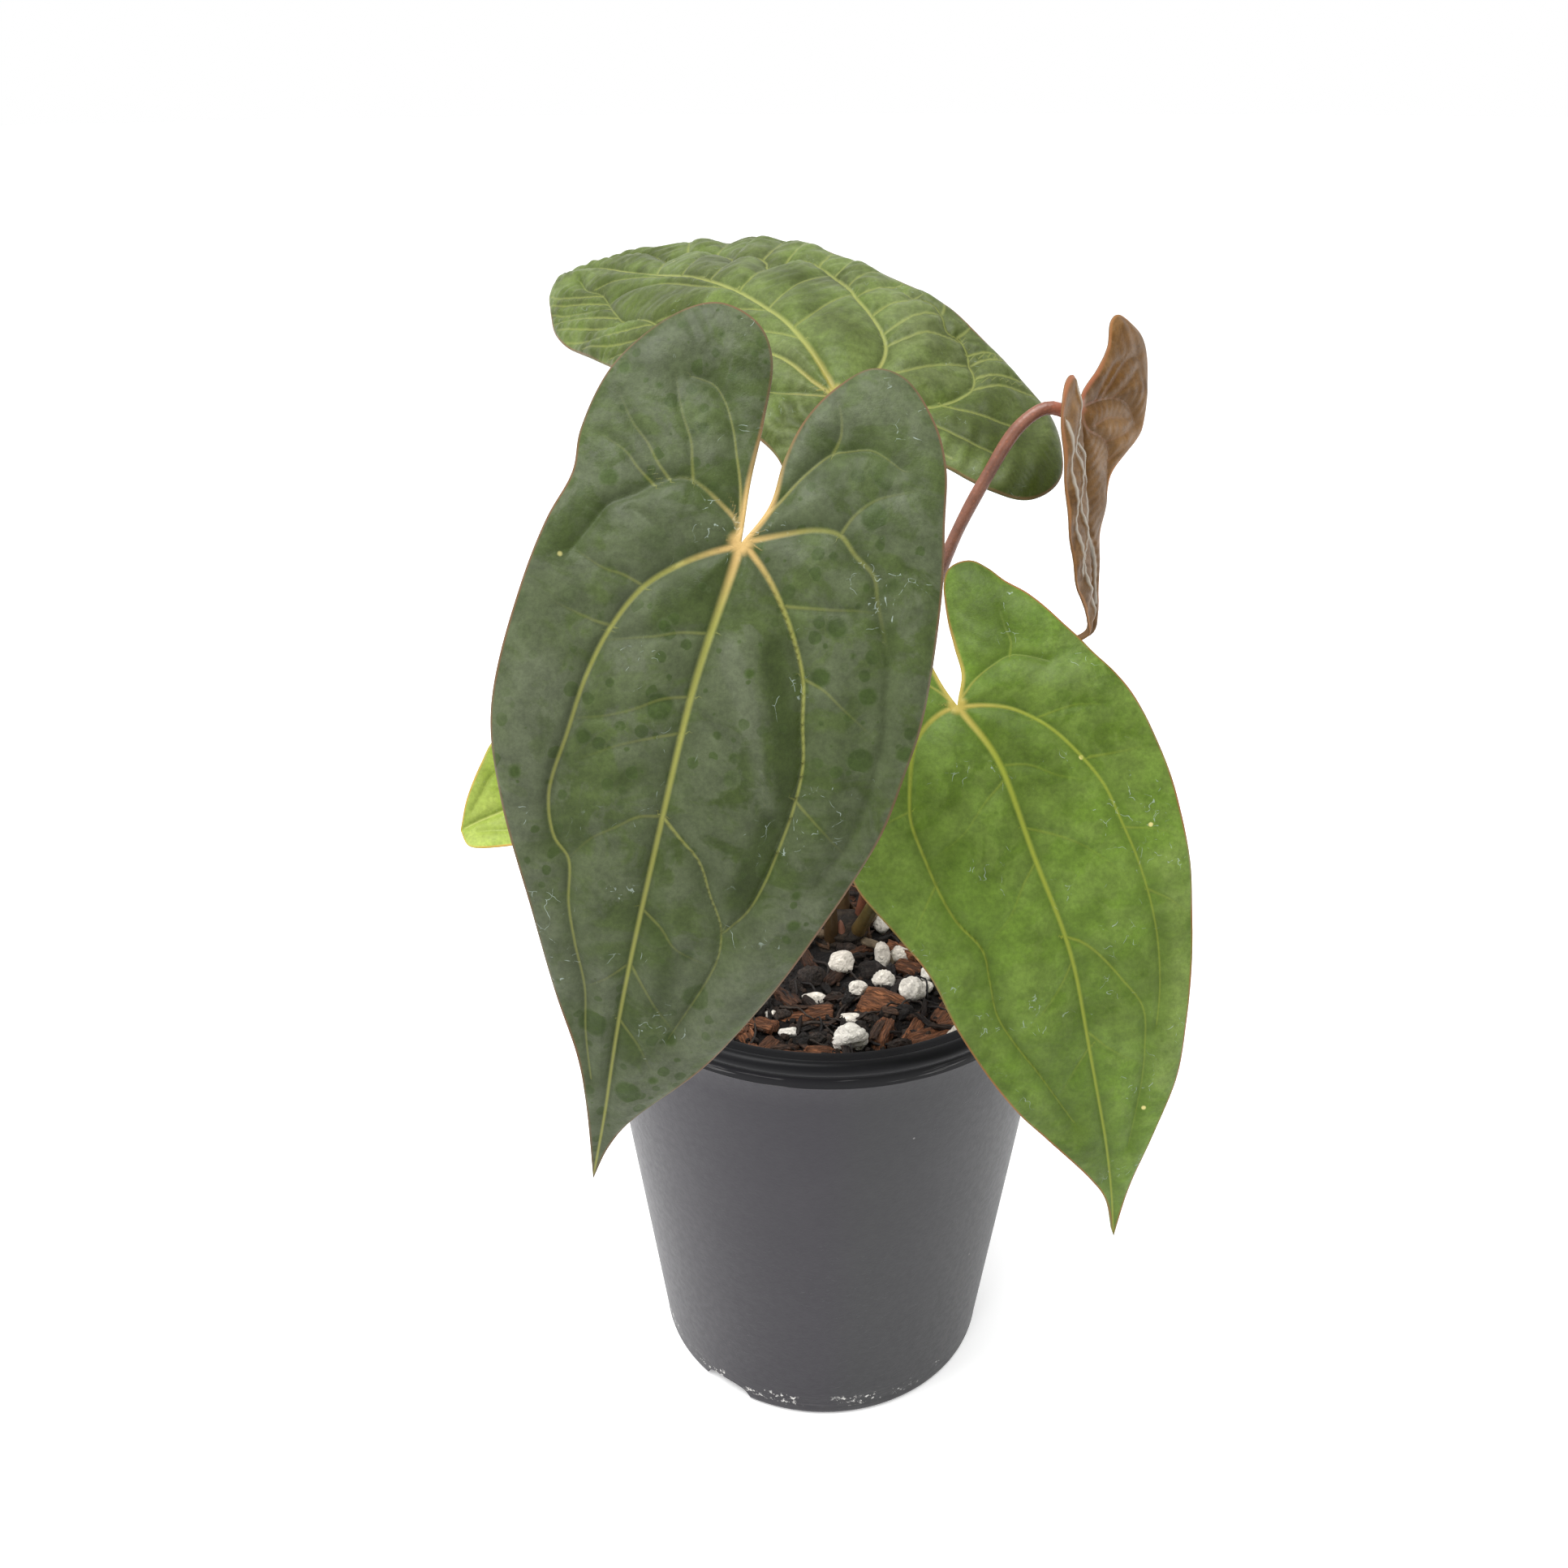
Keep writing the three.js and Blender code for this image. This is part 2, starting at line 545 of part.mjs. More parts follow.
// Stalks, from the crown to the back of their blade, which they meet on the midrib just past the
// sinus. `radii` are at the foot, in the middle and at the swollen joint under the blade.
const STALK_SEAT = 2.6;
const STALKS = {
  front: {
    route: [[3, 10.5, 168], [0, -2, 215], [-5, -30, 276], [-13, -70, 323], [-19.5, -108, 346]],
    radii: [2.9, 2.2, 2.8],
  },
  right: {
    route: [[11.5, 11.5, 168], [17.8, 0.5, 185], [26, -22, 224], [31, -50, 269]],
    radii: [2.9, 2.4, 2.7],
  },
  top: {
    route: [[7, 22.5, 168], [9, 31, 225], [9, 34, 290], [4, 26, 340]],
    radii: [2.8, 2.2, 2.7],
  },
  new: {
    route: [[13.5, 18.5, 168], [20, 12, 215], [26, -2, 265], [34.5, -16, 316], [44.8, -20, 342],
      [53.5, -19.5, 356.5], [61, -18.5, 361]],
    radii: [2.4, 1.9, 1.9],
  },
  small: {
    route: [[1, 17, 168], [-14, 14, 190], [-48, 12, 214], [-78, 13.5, 224], [-88.5, 11.5, 225.5]],
    radii: [1.9, 1.3, 1.6],
  },
};

function makeStalk(name, extra) {
  const { route, radii } = STALKS[name];
  const seat = bladeSurface(LEAVES[name]).at(STALK_SEAT, 0);
  const curve = new THREE.CatmullRomCurve3([...route.map((row) => new THREE.Vector3(...row)), seat]);
  const [foot, middle, joint] = radii;
  const length = curve.getLength();
  const radiusAt = (t) => {
    const sheath = Math.max(0, 1 - (t * length) / SHEATH_LENGTH);
    const swelling = Math.min(1, 2.5 * Math.max(0, 1 - ((1 - t) * length) / SWELLING_LENGTH));
    return middle + (foot - middle) * sheath + (joint - middle) * swelling + extra;
  };
  return solidOf(stalkAlong(curve, radiusAt, PETIOLE_SIDES, PETIOLE_STEPS));
}

// The assembled plant
const plant = new THREE.Group();

function addNode(name, solid, colour, roughness) {
  const material = new THREE.MeshStandardMaterial({ color: colour, roughness, metalness: 0 });
  const mesh = new THREE.Mesh(geometryOf(solid), material);
  mesh.name = name;
  plant.add(mesh);
}

const STALK_COLOURS = { front: 0x6b6a35, right: 0x6e6a36, top: 0x6b6a35, new: 0x7d4436, small: 0x7c8a3c };

addNode('pot', makePot(), 0x5a5860, 0.4);
addNode('potting_mix', mainBody(makeMix().subtract(makeCrown(CLEARANCE + 0.1))), 0x3a2a20, 0.95);

let crown = makeCrown(0);
for (const [name, leaf] of Object.entries(LEAVES)) {
  const thick = makeBlade(leaf);
  addNode(`blade_${name}`, thick, leaf.colour, leaf.roughness);
  // The stalk stops just short of the blade: the blade's own shape, shifted to both sides, cuts it
  let stalk = makeStalk(name, 0);
  const { squareTo } = bladeSurface(leaf);
  const off = squareTo(0, 0.01).multiplyScalar(CLEARANCE);
  for (const side of [1, 0, -1]) {
    stalk = stalk.subtract(thick.translate([off.x * side, off.y * side, off.z * side]));
  }
  addNode(`petiole_${name}`, mainBody(stalk), STALK_COLOURS[name], 0.5);
  crown = crown.subtract(makeStalk(name, CLEARANCE));
}
addNode('crown', mainBody(crown), 0x6f5a3a, 0.8);

export default plant;
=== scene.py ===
# %% [markdown]
# # A potted velvet-leaved anthurium
# The plant has five leaves on thin round stalks, which rise from one short stem in a dark nursery
# pot of bark and pumice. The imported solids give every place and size. This script dresses them
# with finer surfaces: each leaf, stalk, chip and the pot itself is a function of two parameters,
# worked out on a grid with numpy.

# %% Load the frame
import math

import bpy
import numpy as np
from mathutils import Matrix, Vector


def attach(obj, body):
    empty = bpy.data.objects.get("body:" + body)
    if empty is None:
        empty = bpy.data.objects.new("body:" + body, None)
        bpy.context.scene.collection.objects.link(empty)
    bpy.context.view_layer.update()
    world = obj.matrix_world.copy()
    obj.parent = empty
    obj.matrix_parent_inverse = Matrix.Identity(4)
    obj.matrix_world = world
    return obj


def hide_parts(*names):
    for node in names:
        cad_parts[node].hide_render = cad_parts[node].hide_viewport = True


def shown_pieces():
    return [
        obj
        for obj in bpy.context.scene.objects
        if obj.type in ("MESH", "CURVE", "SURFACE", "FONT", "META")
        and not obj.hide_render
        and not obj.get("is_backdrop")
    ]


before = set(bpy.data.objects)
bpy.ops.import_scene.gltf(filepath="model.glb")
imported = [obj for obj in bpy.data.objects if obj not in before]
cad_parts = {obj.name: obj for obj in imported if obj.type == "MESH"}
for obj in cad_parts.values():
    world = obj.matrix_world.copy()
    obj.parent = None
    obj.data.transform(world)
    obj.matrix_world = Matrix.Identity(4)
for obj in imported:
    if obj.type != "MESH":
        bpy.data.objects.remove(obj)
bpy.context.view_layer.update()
MM = 0.001

# %% [markdown]
# ## Camera
# The photograph looks down on the pot from a little above the leaves. A camera can be placed by
# eye, or worked out from a shape that is known. The pot's rim and foot are circles of a known
# size, so their ellipses give the place, the tilt and the lens, and the pot's middle gives the
# rest. The roll is the small turn of the horizon.

# %% Camera
IMAGE_SIDE = 1932
FOCAL_PIXELS = 1750
SENSOR_WIDTH = 36
EYE = Vector((-14.2, -424.5, 451.3)) * MM
PITCH_DOWN = math.radians(27.32)
ROLL = math.radians(0.281)

camera = bpy.data.objects.new("camera", bpy.data.cameras.new("camera"))
camera.data.sensor_width = SENSOR_WIDTH
camera.data.lens = SENSOR_WIDTH * FOCAL_PIXELS / IMAGE_SIDE
camera.data.clip_start = 0.01
camera.data.clip_end = 20
camera.matrix_world = (
    Matrix.Translation(EYE)
    @ Matrix.Rotation(math.pi / 2 - PITCH_DOWN, 4, "X")
    @ Matrix.Rotation(-ROLL, 4, "Z")
)
bpy.context.scene.collection.objects.link(camera)
bpy.context.scene.camera = camera
print("lens in mm:", round(camera.data.lens, 2))

# %% [markdown]
# ## Light
# A catalogue photograph is lit by big soft boxes in a white room. The room is the world's even
# white, which also gives the pale sheen along the pot's edges. One box hangs over the plant and
# lights the upper leaves, and two weaker ones fill in from the left and from low on the right.
# The Standard view keeps white as white.

# %% Light
world = bpy.data.worlds.new("white room")
world.use_nodes = True
world.node_tree.nodes["Background"].inputs["Color"].default_value = (1, 1, 1, 1)
world.node_tree.nodes["Background"].inputs["Strength"].default_value = 1.0
bpy.context.scene.world = world
bpy.context.scene.view_settings.view_transform = "Standard"


def soft_box(name, place, target, size, watts):
    """A square lamp at a place, facing a target, both in metres."""
    lamp = bpy.data.lights.new(name, "AREA")
    lamp.size = size
    lamp.energy = watts
    holder = bpy.data.objects.new(name, lamp)
    holder.location = place
    aim = Vector(target) - Vector(place)
    holder.rotation_euler = aim.to_track_quat("-Z", "Y").to_euler()
    bpy.context.scene.collection.objects.link(holder)


soft_box("overhead box", (-0.3, -0.3, 1.5), (0, 0, 0.25), 0.9, 30)
soft_box("left box", (-1.3, -0.7, 1.0), (0, 0, 0.2), 0.7, 5)
soft_box("right box", (1.3, 0.3, 0.25), (0, 0, 0.08), 0.6, 5)
print("lamps:", len(bpy.data.lights))

# %% [markdown]
# ## Helpers for meshes
# A grid of points with one row per step and one column per side is the base of every piece. Its
# faces are four neighbours each. `from_pydata` would take a list of them, but `foreach_set` puts
# whole arrays into the mesh at once, which matters for a leaf of seventy thousand faces.


# %% Mesh from arrays
CUBIC_CM = 1000


def new_piece(name, points, quads, tris, slot, replaces=(), floats=None, uv=None, crease=None):
    """A smooth mesh piece from points in mm, with a float per point for each named attribute."""
    mesh = bpy.data.meshes.new(name)
    mesh.vertices.add(len(points))
    mesh.vertices.foreach_set("co", (points * MM).astype(np.float32).ravel())
    corners = np.concatenate([quads.ravel(), tris.ravel()]).astype(np.int32)
    starts = np.concatenate(
        [4 * np.arange(len(quads)), quads.size + 3 * np.arange(len(tris))]
    ).astype(np.int32)
    mesh.loops.add(len(corners))
    mesh.loops.foreach_set("vertex_index", corners)
    mesh.polygons.add(len(starts))
    mesh.polygons.foreach_set("loop_start", starts)
    mesh.update(calc_edges=True)
    mesh.polygons.foreach_set("use_smooth", np.ones(len(starts), bool))
    for key, values in (floats or {}).items():
        mesh.attributes.new(key, "FLOAT", "POINT").data.foreach_set(
            "value", values.astype(np.float32).ravel()
        )
    if uv is not None:
        layer = mesh.uv_layers.new(name="flat")
        layer.uv.foreach_set("vector", uv[corners].astype(np.float32).ravel())
    if crease is not None:
        mesh.set_sharp_from_angle(angle=math.radians(crease))
    piece = bpy.data.objects.new(name, mesh)
    bpy.context.scene.collection.objects.link(piece)
    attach(piece, "root")
    if replaces:
        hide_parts(*replaces)
    print(f"{name}: {2 * len(quads) + len(tris)} triangles round {filled(points, quads, tris):.3f} cm3")
    return piece


def filled(points, quads, tris):
    """Volume in cm3 inside closed faces: the sum of a . (b x c) / 6, positive if they look out."""
    threes = np.vstack([quads[:, [0, 1, 2]], quads[:, [0, 2, 3]], tris])
    a, b, c = points[threes].swapaxes(0, 1)
    return (a * np.cross(b, c)).sum() / (6 * CUBIC_CM)


def grid_quads(rows, columns):
    """Four-cornered faces between neighbouring rows, whose last column meets the first."""
    i, j = np.meshgrid(np.arange(rows - 1), np.arange(columns), indexing="ij")
    right = (j + 1) % columns
    quads = [i * columns + j, i * columns + right, (i + 1) * columns + right, (i + 1) * columns + j]
    return np.stack(quads, -1).reshape(-1, 4)


def cap_tris(ring, pole, outwards):
    """A fan of triangles from a ring of point numbers to the pole's number."""
    following = np.roll(ring, -1)
    poles = np.full(len(ring), pole)
    order = [ring, following, poles] if outwards else [following, ring, poles]
    return np.stack(order, -1)


def ring_faces(rows, sides):
    """Faces of a tube of rings with a pole at each end, whose two numbers follow the rings'."""
    first = cap_tris(np.arange(sides), rows * sides, False)
    last = cap_tris((rows - 1) * sides + np.arange(sides), rows * sides + 1, True)
    return grid_quads(rows, sides), np.vstack([first, last])


def unit(vectors):
    """Vectors of length one."""
    return vectors / np.maximum(np.linalg.norm(vectors, axis=-1, keepdims=True), 1e-12)


# %% [markdown]
# ## Helpers for curves
# A leaf's edge and a stalk's route are each known at a few points. A straight line between them
# would show corners. The curve through the points is a cubic between each two, with slopes taken
# from the points before and after, weighted by the square roots of their distances, so it neither
# overshoots nor kinks.


# %% Smooth line
DENSE = 40


def smooth_line(rows, count, first=0, last=None):
    """count + 1 points, evenly spaced by length, on the curve through the given points, or on the
    part of it between two of them."""
    rows = np.asarray(rows, float)
    ends = np.vstack([2 * rows[0] - rows[1], rows, 2 * rows[-1] - rows[-2]])
    gaps = np.linalg.norm(np.diff(ends, axis=0), axis=1) ** 0.5
    p0, p1, p2, p3 = ends[:-3, None], ends[1:-2, None], ends[2:-1, None], ends[3:, None]
    a, b, c = gaps[:-2, None, None], gaps[1:-1, None, None], gaps[2:, None, None]
    m1 = b * ((p1 - p0) / a - (p2 - p0) / (a + b) + (p2 - p1) / b)
    m2 = b * ((p2 - p1) / b - (p3 - p1) / (b + c) + (p3 - p2) / c)
    t = np.linspace(0, 1, DENSE, endpoint=False)[None, :, None]
    dense = p1 + m1 * t + (3 * (p2 - p1) - 2 * m1 - m2) * t**2 + (2 * (p1 - p2) + m1 + m2) * t**3
    dense = np.vstack([dense.reshape(-1, rows.shape[1]), rows[-1:]])
    dense = dense[DENSE * first : len(dense) if last is None else DENSE * last + 1]
    length = np.concatenate([[0], np.cumsum(np.linalg.norm(np.diff(dense, axis=0), axis=1))])
    wanted = np.linspace(0, length[-1], count + 1)
    return np.stack([np.interp(wanted, length, dense[:, k]) for k in range(rows.shape[1])], -1)


def nearest(places, line):
    """For flat places: distance to a line, length along it there, and the side, +1 left of it."""
    start, step = line[:-1], np.diff(line, axis=0)
    size = np.maximum(np.linalg.norm(step, axis=1), 1e-9)
    offset = places[:, None] - start
    share = np.clip((offset * step).sum(-1) / size**2, 0, 1)
    gap = offset - share[..., None] * step
    distance = np.linalg.norm(gap, axis=-1)
    k = distance.argmin(1)
    row = np.arange(len(places))
    along = np.concatenate([[0], np.cumsum(size)])[k] + share[row, k] * size[k]
    side = np.sign(step[k, 0] * offset[row, k, 1] - step[k, 1] * offset[row, k, 0])
    return distance[row, k], along, side


# %% [markdown]
# ## Shader helpers
# Every finish below is procedural. These few helpers place a node and join it in one line, so
# that a finish reads like a recipe. Effects that several materials share become node groups.


# %% Shader helpers
def join(tree, socket, value):
    """Links a socket to another, or sets its constant."""
    if isinstance(value, bpy.types.NodeSocket):
        tree.links.new(value, socket)
    elif isinstance(value, (tuple, list)) and len(value) == 3 and socket.type == "RGBA":
        socket.default_value = (*value, 1)
    else:
        socket.default_value = value


def place(tree, kind, inputs=None, **settings):
    """A shader node with its settings, and its inputs by name or number."""
    node = tree.nodes.new("ShaderNode" + kind)
    for key, value in settings.items():
        setattr(node, key, value)
    for key, value in (inputs or {}).items():
        join(tree, node.inputs[key], value)
    return node


def noise(tree, where, scale, detail=3.0, rough=0.5, bend=0.0):
    """Cloudy noise between about 0.25 and 0.75."""
    inputs = {"Vector": where, "Scale": scale, "Detail": detail, "Roughness": rough,
              "Distortion": bend}
    return place(tree, "TexNoise", inputs).outputs[0]


def cells(tree, where, scale, feature="F1"):
    """Voronoi cells, as a node with Distance and Color."""
    return place(tree, "TexVoronoi", {"Vector": where, "Scale": scale}, feature=feature)


def fade(tree, value, low, high, to_low=0.0, to_high=1.0):
    """A smooth step of a value between two limits."""
    inputs = {0: value, 1: low, 2: high, 3: to_low, 4: to_high}
    return place(tree, "MapRange", inputs, interpolation_type="SMOOTHSTEP").outputs[0]


def sums(tree, operation, a, b=0.0):
    """One step of arithmetic."""
    return place(tree, "Math", {0: a, 1: b}, operation=operation).outputs[0]


def times(tree, first, *others):
    """The product of several numbers."""
    for value in others:
        first = sums(tree, "MULTIPLY", first, value)
    return first


def larger(tree, first, *others):
    """The largest of several numbers."""
    for value in others:
        first = sums(tree, "MAXIMUM", first, value)
    return first


def mix(tree, share, a, b, how="MIX"):
    """A mix of two colours."""
    inputs = {0: share, 6: a, 7: b}
    return place(tree, "Mix", inputs, data_type="RGBA", blend_type=how).outputs[2]


def tinted(tree, colour, tint_and_painted_light):
    """A colour multiplied by another one, channel by channel."""
    return mix(tree, 1.0, colour, tint_and_painted_light, "MULTIPLY")


def mix_numbers(tree, share, a, b):
    """A mix of two numbers."""
    return place(tree, "Mix", {0: share, 2: a, 3: b}, data_type="FLOAT").outputs[0]


def attribute(tree, name):
    """The number that each point carries under this name."""
    return place(tree, "Attribute", attribute_name=name).outputs["Fac"]


def object_place(tree):
    """The point's place in metres."""
    return place(tree, "TexCoord").outputs["Object"]


def shift(tree, where, offset):
    """A place moved by an offset, so that two patterns on one piece differ."""
    return place(tree, "VectorMath", {0: where, 1: offset}, operation="ADD").outputs[0]


def new_group(name, inputs, outputs):
    """An empty node group with named sockets: colours where the default has three numbers."""
    tree = bpy.data.node_groups.new(name, "ShaderNodeTree")
    for key, value in inputs.items():
        colour = isinstance(value, tuple)
        kind = "NodeSocketColor" if colour else "NodeSocketFloat"
        socket = tree.interface.new_socket(name=key, in_out="INPUT", socket_type=kind)
        socket.default_value = (*value, 1) if colour else value
    for key, kind in outputs.items():
        tree.interface.new_socket(name=key, in_out="OUTPUT", socket_type=kind)
    return tree, tree.nodes.new("NodeGroupInput").outputs, tree.nodes.new("NodeGroupOutput").inputs


def new_finish(name, group, values, bump, **constants):
    """A material whose colour, roughness and bump height come from a group, the rest constant."""
    material = bpy.data.materials.new(name)
    material.use_nodes = True
    tree = material.node_tree
    shader = tree.nodes["Principled BSDF"]
    for key, value in constants.items():
        join(tree, shader.inputs[key.replace("_", " ")], value)
    recipe = place(tree, "Group", node_tree=group)
    for key, value in values.items():
        join(tree, recipe.inputs[key], value)
    tree.links.new(recipe.outputs["Color"], shader.inputs["Base Color"])
    tree.links.new(recipe.outputs["Roughness"], shader.inputs["Roughness"])
    inputs = {"Strength": 1.0, "Distance": bump * MM, "Height": recipe.outputs["Height"]}
    tree.links.new(place(tree, "Bump", inputs).outputs[0], shader.inputs["Normal"])
    return material


LOOKS = {"Color": "NodeSocketColor", "Roughness": "NodeSocketFloat", "Height": "NodeSocketFloat"}

# %% [markdown]
# ## Leaves: the bent surface
# A blade is laid out flat first. `s` is the length along the midrib from the sinus, where the
# stalk joins, towards the drip tip, and is negative in the two basal lobes. `w` runs across. A
# margin or a notch is a row of edge places, s and w in turn.
# The midrib's route in space is a rail, and the blade hangs on it: across the rail it rises by a
# fold at the midrib and a curl towards the edge. The same numbers made the solids, so this finer
# blade keeps their form.

# %% Leaf shapes
LEAVES = {
    "front": {
        "rail": [[-13, -108, 399], [-23, -135, 359], [-34, -148, 327], [-46, -158, 282],
                 [-56, -160, 236], [-62, -156, 203]],
        "across": [[1, 0, 0.06], [1, 0, 0.25]],
        "left": {
            "fold": 0.06, "cup": -0.0012,
            "margin": [-51, -15, -47, -24, -34, -35, -18, -39, -7, -38.5, 7, -41, 24, -42, 48, -41,
                       65, -35, 90, -23, 108, -15, 124, -8, 137, -4.5, 165, 0],
            "notch": [0, 0, -13, -1, -27, -0.8, -41, -1.6, -48, -6, -51, -15],
        },
        "right": {
            "fold": 0.06, "cup": -0.0012,
            "margin": [-42, 20, -41, 27, -32, 35, -23, 39, -12, 41, 1, 44, 24, 48, 38, 48, 52, 47,
                       66, 43.5, 80, 39, 93, 34.5, 108, 28, 122, 21, 143, 6.5, 153, 2.5, 165, 0],
            "notch": [0, 0, -9, 4, -19, 5, -28, 7.6, -36, 12.7, -42, 20],
        },
        "ease": 3, "ripples": 5, "ripple": 0.5,
    },
    "right": {
        "rail": [[27, -46, 324], [33, -72, 293], [43, -82, 281], [54, -94, 255], [66, -103, 224],
                 [76, -109, 178], [84, -108, 135]],
        "across": [[0.95, 0.12, 0.35], [0.95, 0.25, 0.3]],
        "left": {
            "fold": 0.08, "cup": -0.001,
            "margin": [-38, -21, -34.9, -28, -27.1, -34.1, -13.9, -38.1, 1.8, -41.1, 20.6, -45,
                       25.9, -48.1, 36, -48.1, 53.7, -42, 66.9, -38, 85, -36, 102.5, -31, 117.7, -24,
                       129, -17, 148, -6, 159, -1.5, 175, 0],
            "notch": [0, 0, -12.2, -3, -21.4, -5.5, -30.5, -9, -36.2, -14, -38, -21],
        },
        "right": {
            "fold": 0.08, "cup": -0.001,
            "margin": [-40.1, 7.2, -40, 11.2, -37.1, 15.2, -32.9, 19.2, -27.7, 25.4, -19.6, 31.5,
                       -6.7, 37, 6.4, 39.4, 16, 40.2, 28.8, 41.1, 42.7, 41.7, 61.1, 39.4, 76.5, 35,
                       102.4, 28, 121.2, 23, 138.9, 14.7, 156, 6.4, 175, 0],
            "notch": [0, 0, -7.5, 4, -16.2, 3.7, -23.5, 2.8, -30.6, 2.4, -34.6, 2.6, -38.5, 4.2,
                      -40.1, 7.2],
        },
        "ease": 22, "ripples": 5, "ripple": 0.5,
    },
    "top": {
        "rail": [[14, -16, 338], [2, 14, 359], [-5, 28, 369], [-20, 58, 377], [-40, 92, 381],
                 [-63, 126, 378], [-97, 168, 373], [-104, 176, 369]],
        "across": [[-0.86, -0.46, -0.25], [-0.86, -0.46, -0.25]],
        "left": {
            "fold": 0, "cup": -0.001,
            "margin": [-54, -40, -53, -48, -48, -55, -37, -60, -22, -62, -6, -58, 12, -53, 34, -45,
                       66, -41, 85, -40.5, 129, -41, 160, -27, 184, -10, 199, 0],
            "notch": [0, 0, -12, -4, -25, -12, -36, -21, -48, -31, -54, -40],
        },
        "right": {
            "fold": -0.3, "cup": -0.0015,
            "margin": [-50, 5, -54, 11, -50, 18, -40, 23, -28, 24, -14, 24, 0, 28, 25, 36, 58, 43,
                       92, 44.7, 131, 41, 155, 35, 177, 22, 184, 17, 193, 8, 199, 0],
            "notch": [0, 0, -14, 0.8, -28, 1.2, -42, 2, -50, 5],
        },
        "ease": 3, "ripples": 9, "ripple": 0.9,
    },
    "new": {
        "rail": [[67.7, -14, 380], [70, -18, 361], [72.5, -20, 342], [75, -21, 324], [77.5, -22, 308],
                 [78.6, -22, 300], [78, -22.5, 294.5], [74.8, -23, 292.8], [71, -23, 294]],
        "across": [[0.6, 0.8, 0], [0.6, 0.8, 0]],
        "left": {
            "fold": 0.2, "cup": 0,
            "margin": [-9, -5, -8.4, -10, -4.5, -16, 3, -19, 11, -19, 20, -19, 30, -18, 38, -16.5,
                       46, -15.5, 57, -8, 65, -3.4, 73, 0],
            "notch": [0, 0, -3.6, -1, -6.5, -1.6, -9, -5],
        },
        "right": {
            "fold": 0.15, "cup": 0,
            "margin": [-24, 21, -21, 28, -17, 33, -11, 35, 0, 34, 12, 31, 15, 27, 17, 22.5, 22, 14,
                       26, 11.5, 31, 10, 38, 6.5, 44, 5.4, 50, 4.2, 59, 3.2, 66, 2.4, 73, 0],
            "notch": [0, 0, -4, 2, -10, 10, -16, 15.7, -22, 17.6, -24, 21],
        },
        "ease": 1.5, "ripples": 6, "ripple": 0.7,
    },
    "small": {
        "rail": [[-83, 14, 229], [-92, 6, 228], [-101, 0, 227], [-109, -5, 225], [-116, -8, 223],
                 [-121, -10, 221]],
        "across": [[0.1, -0.5, -0.85], [0.1, -0.5, -0.85]],
        "left": {
            "fold": 0.1, "cup": 0,
            "margin": [-12, -12, -9.9, -17, -4.7, -21.5, 1.9, -24, 13.7, -22.6, 20, -17.4, 25.5, -12,
                       30.2, -7, 33.5, -2.7, 35.5, 0],
            "notch": [0, 0, -5, -2, -10, -5.5, -12, -12],
        },
        "right": {
            "fold": 0.5, "cup": 0,
            "margin": [-10.2, 9, -7.5, 13.1, 2.6, 15.6, 11.6, 15.6, 23.7, 13.6, 32, 9.9, 35.4, 6.6,
                       35.5, 0],
            "notch": [0, 0, -5.1, 2, -9.1, 4.5, -10.2, 9],
        },
        "ease": 14, "ripples": 3, "ripple": 0.2,
    },
}
print("leaves:", ", ".join(LEAVES))


# %% The rail and the bend
def rail_place(rail, s):
    """Place at each length s past the rail's second point, and the rail's length from there: the
    cubic whose slope at a point is the mean of its two chords' slopes, each weighted with the
    other one's length."""
    rail = np.asarray(rail, float)
    chords = np.diff(rail, axis=0)
    steps = np.linalg.norm(chords, axis=1)
    knots = np.concatenate([[0], np.cumsum(steps)]) - steps[0]
    slopes = chords / steps[:, None]
    before, after = steps[:-1, None], steps[1:, None]
    inner = (slopes[:-1] * after + slopes[1:] * before) / (before + after)
    slopes = np.vstack([slopes[:1], inner, slopes[-1:]])
    held = np.clip(s, knots[0], knots[-1])
    i = np.clip(np.searchsorted(knots, held, side="right") - 1, 0, len(steps) - 1)
    h = steps[i][..., None]
    t = (held - knots[i])[..., None] / h
    a, b, c, d = rail[i], slopes[i] * h, rail[i + 1], slopes[i + 1] * h
    spot = (2 * t**3 - 3 * t**2 + 1) * a + (t**3 - 2 * t**2 + t) * b
    spot = spot + (3 * t**2 - 2 * t**3) * c + (t**3 - t**2) * d
    heading = (6 * t**2 - 6 * t) * (a - c) + (3 * t**2 - 4 * t + 1) * b + (3 * t**2 - 2 * t) * d
    heading = heading / h
    return spot + (s - held)[..., None] * heading, knots[-1]


def blade_frame(leaf, s):
    """Place on the rail, side and up at each s. The heading is the chord between the places an
    ease before and after, so that a sharp turn of the rail does not crowd the blade's edge."""
    spot, length = rail_place(leaf["rail"], s)
    ahead = rail_place(leaf["rail"], s + leaf["ease"])[0]
    heading = unit(ahead - rail_place(leaf["rail"], s - leaf["ease"])[0])
    share = np.clip(s / length, 0, 1)[..., None]
    side = (1 - share) * np.array(leaf["across"][0]) + share * np.array(leaf["across"][1])
    side = unit(side - (side * heading).sum(-1, keepdims=True) * heading)
    return spot, side, np.cross(heading, side)


def bend(leaf, s, w):
    """Point of the bent blade, rail(s) + side * w * cos(fold) + up * (sin(fold) |w| + cup w^2), and
    the direction square to it there, up - slope * side."""
    spot, side, up = blade_frame(leaf, s)
    fold = np.where(w > 0, leaf["right"]["fold"], leaf["left"]["fold"])
    cup = np.where(w > 0, leaf["right"]["cup"], leaf["left"]["cup"])
    rise = np.sin(fold) * np.abs(w) + cup * w * w
    soft_fold = np.sin(fold) * np.tanh(w / 2)
    square = unit(up - (soft_fold + 2 * cup * w)[..., None] * side)
    return spot + side * (w * np.cos(fold))[..., None] + up * rise[..., None], square
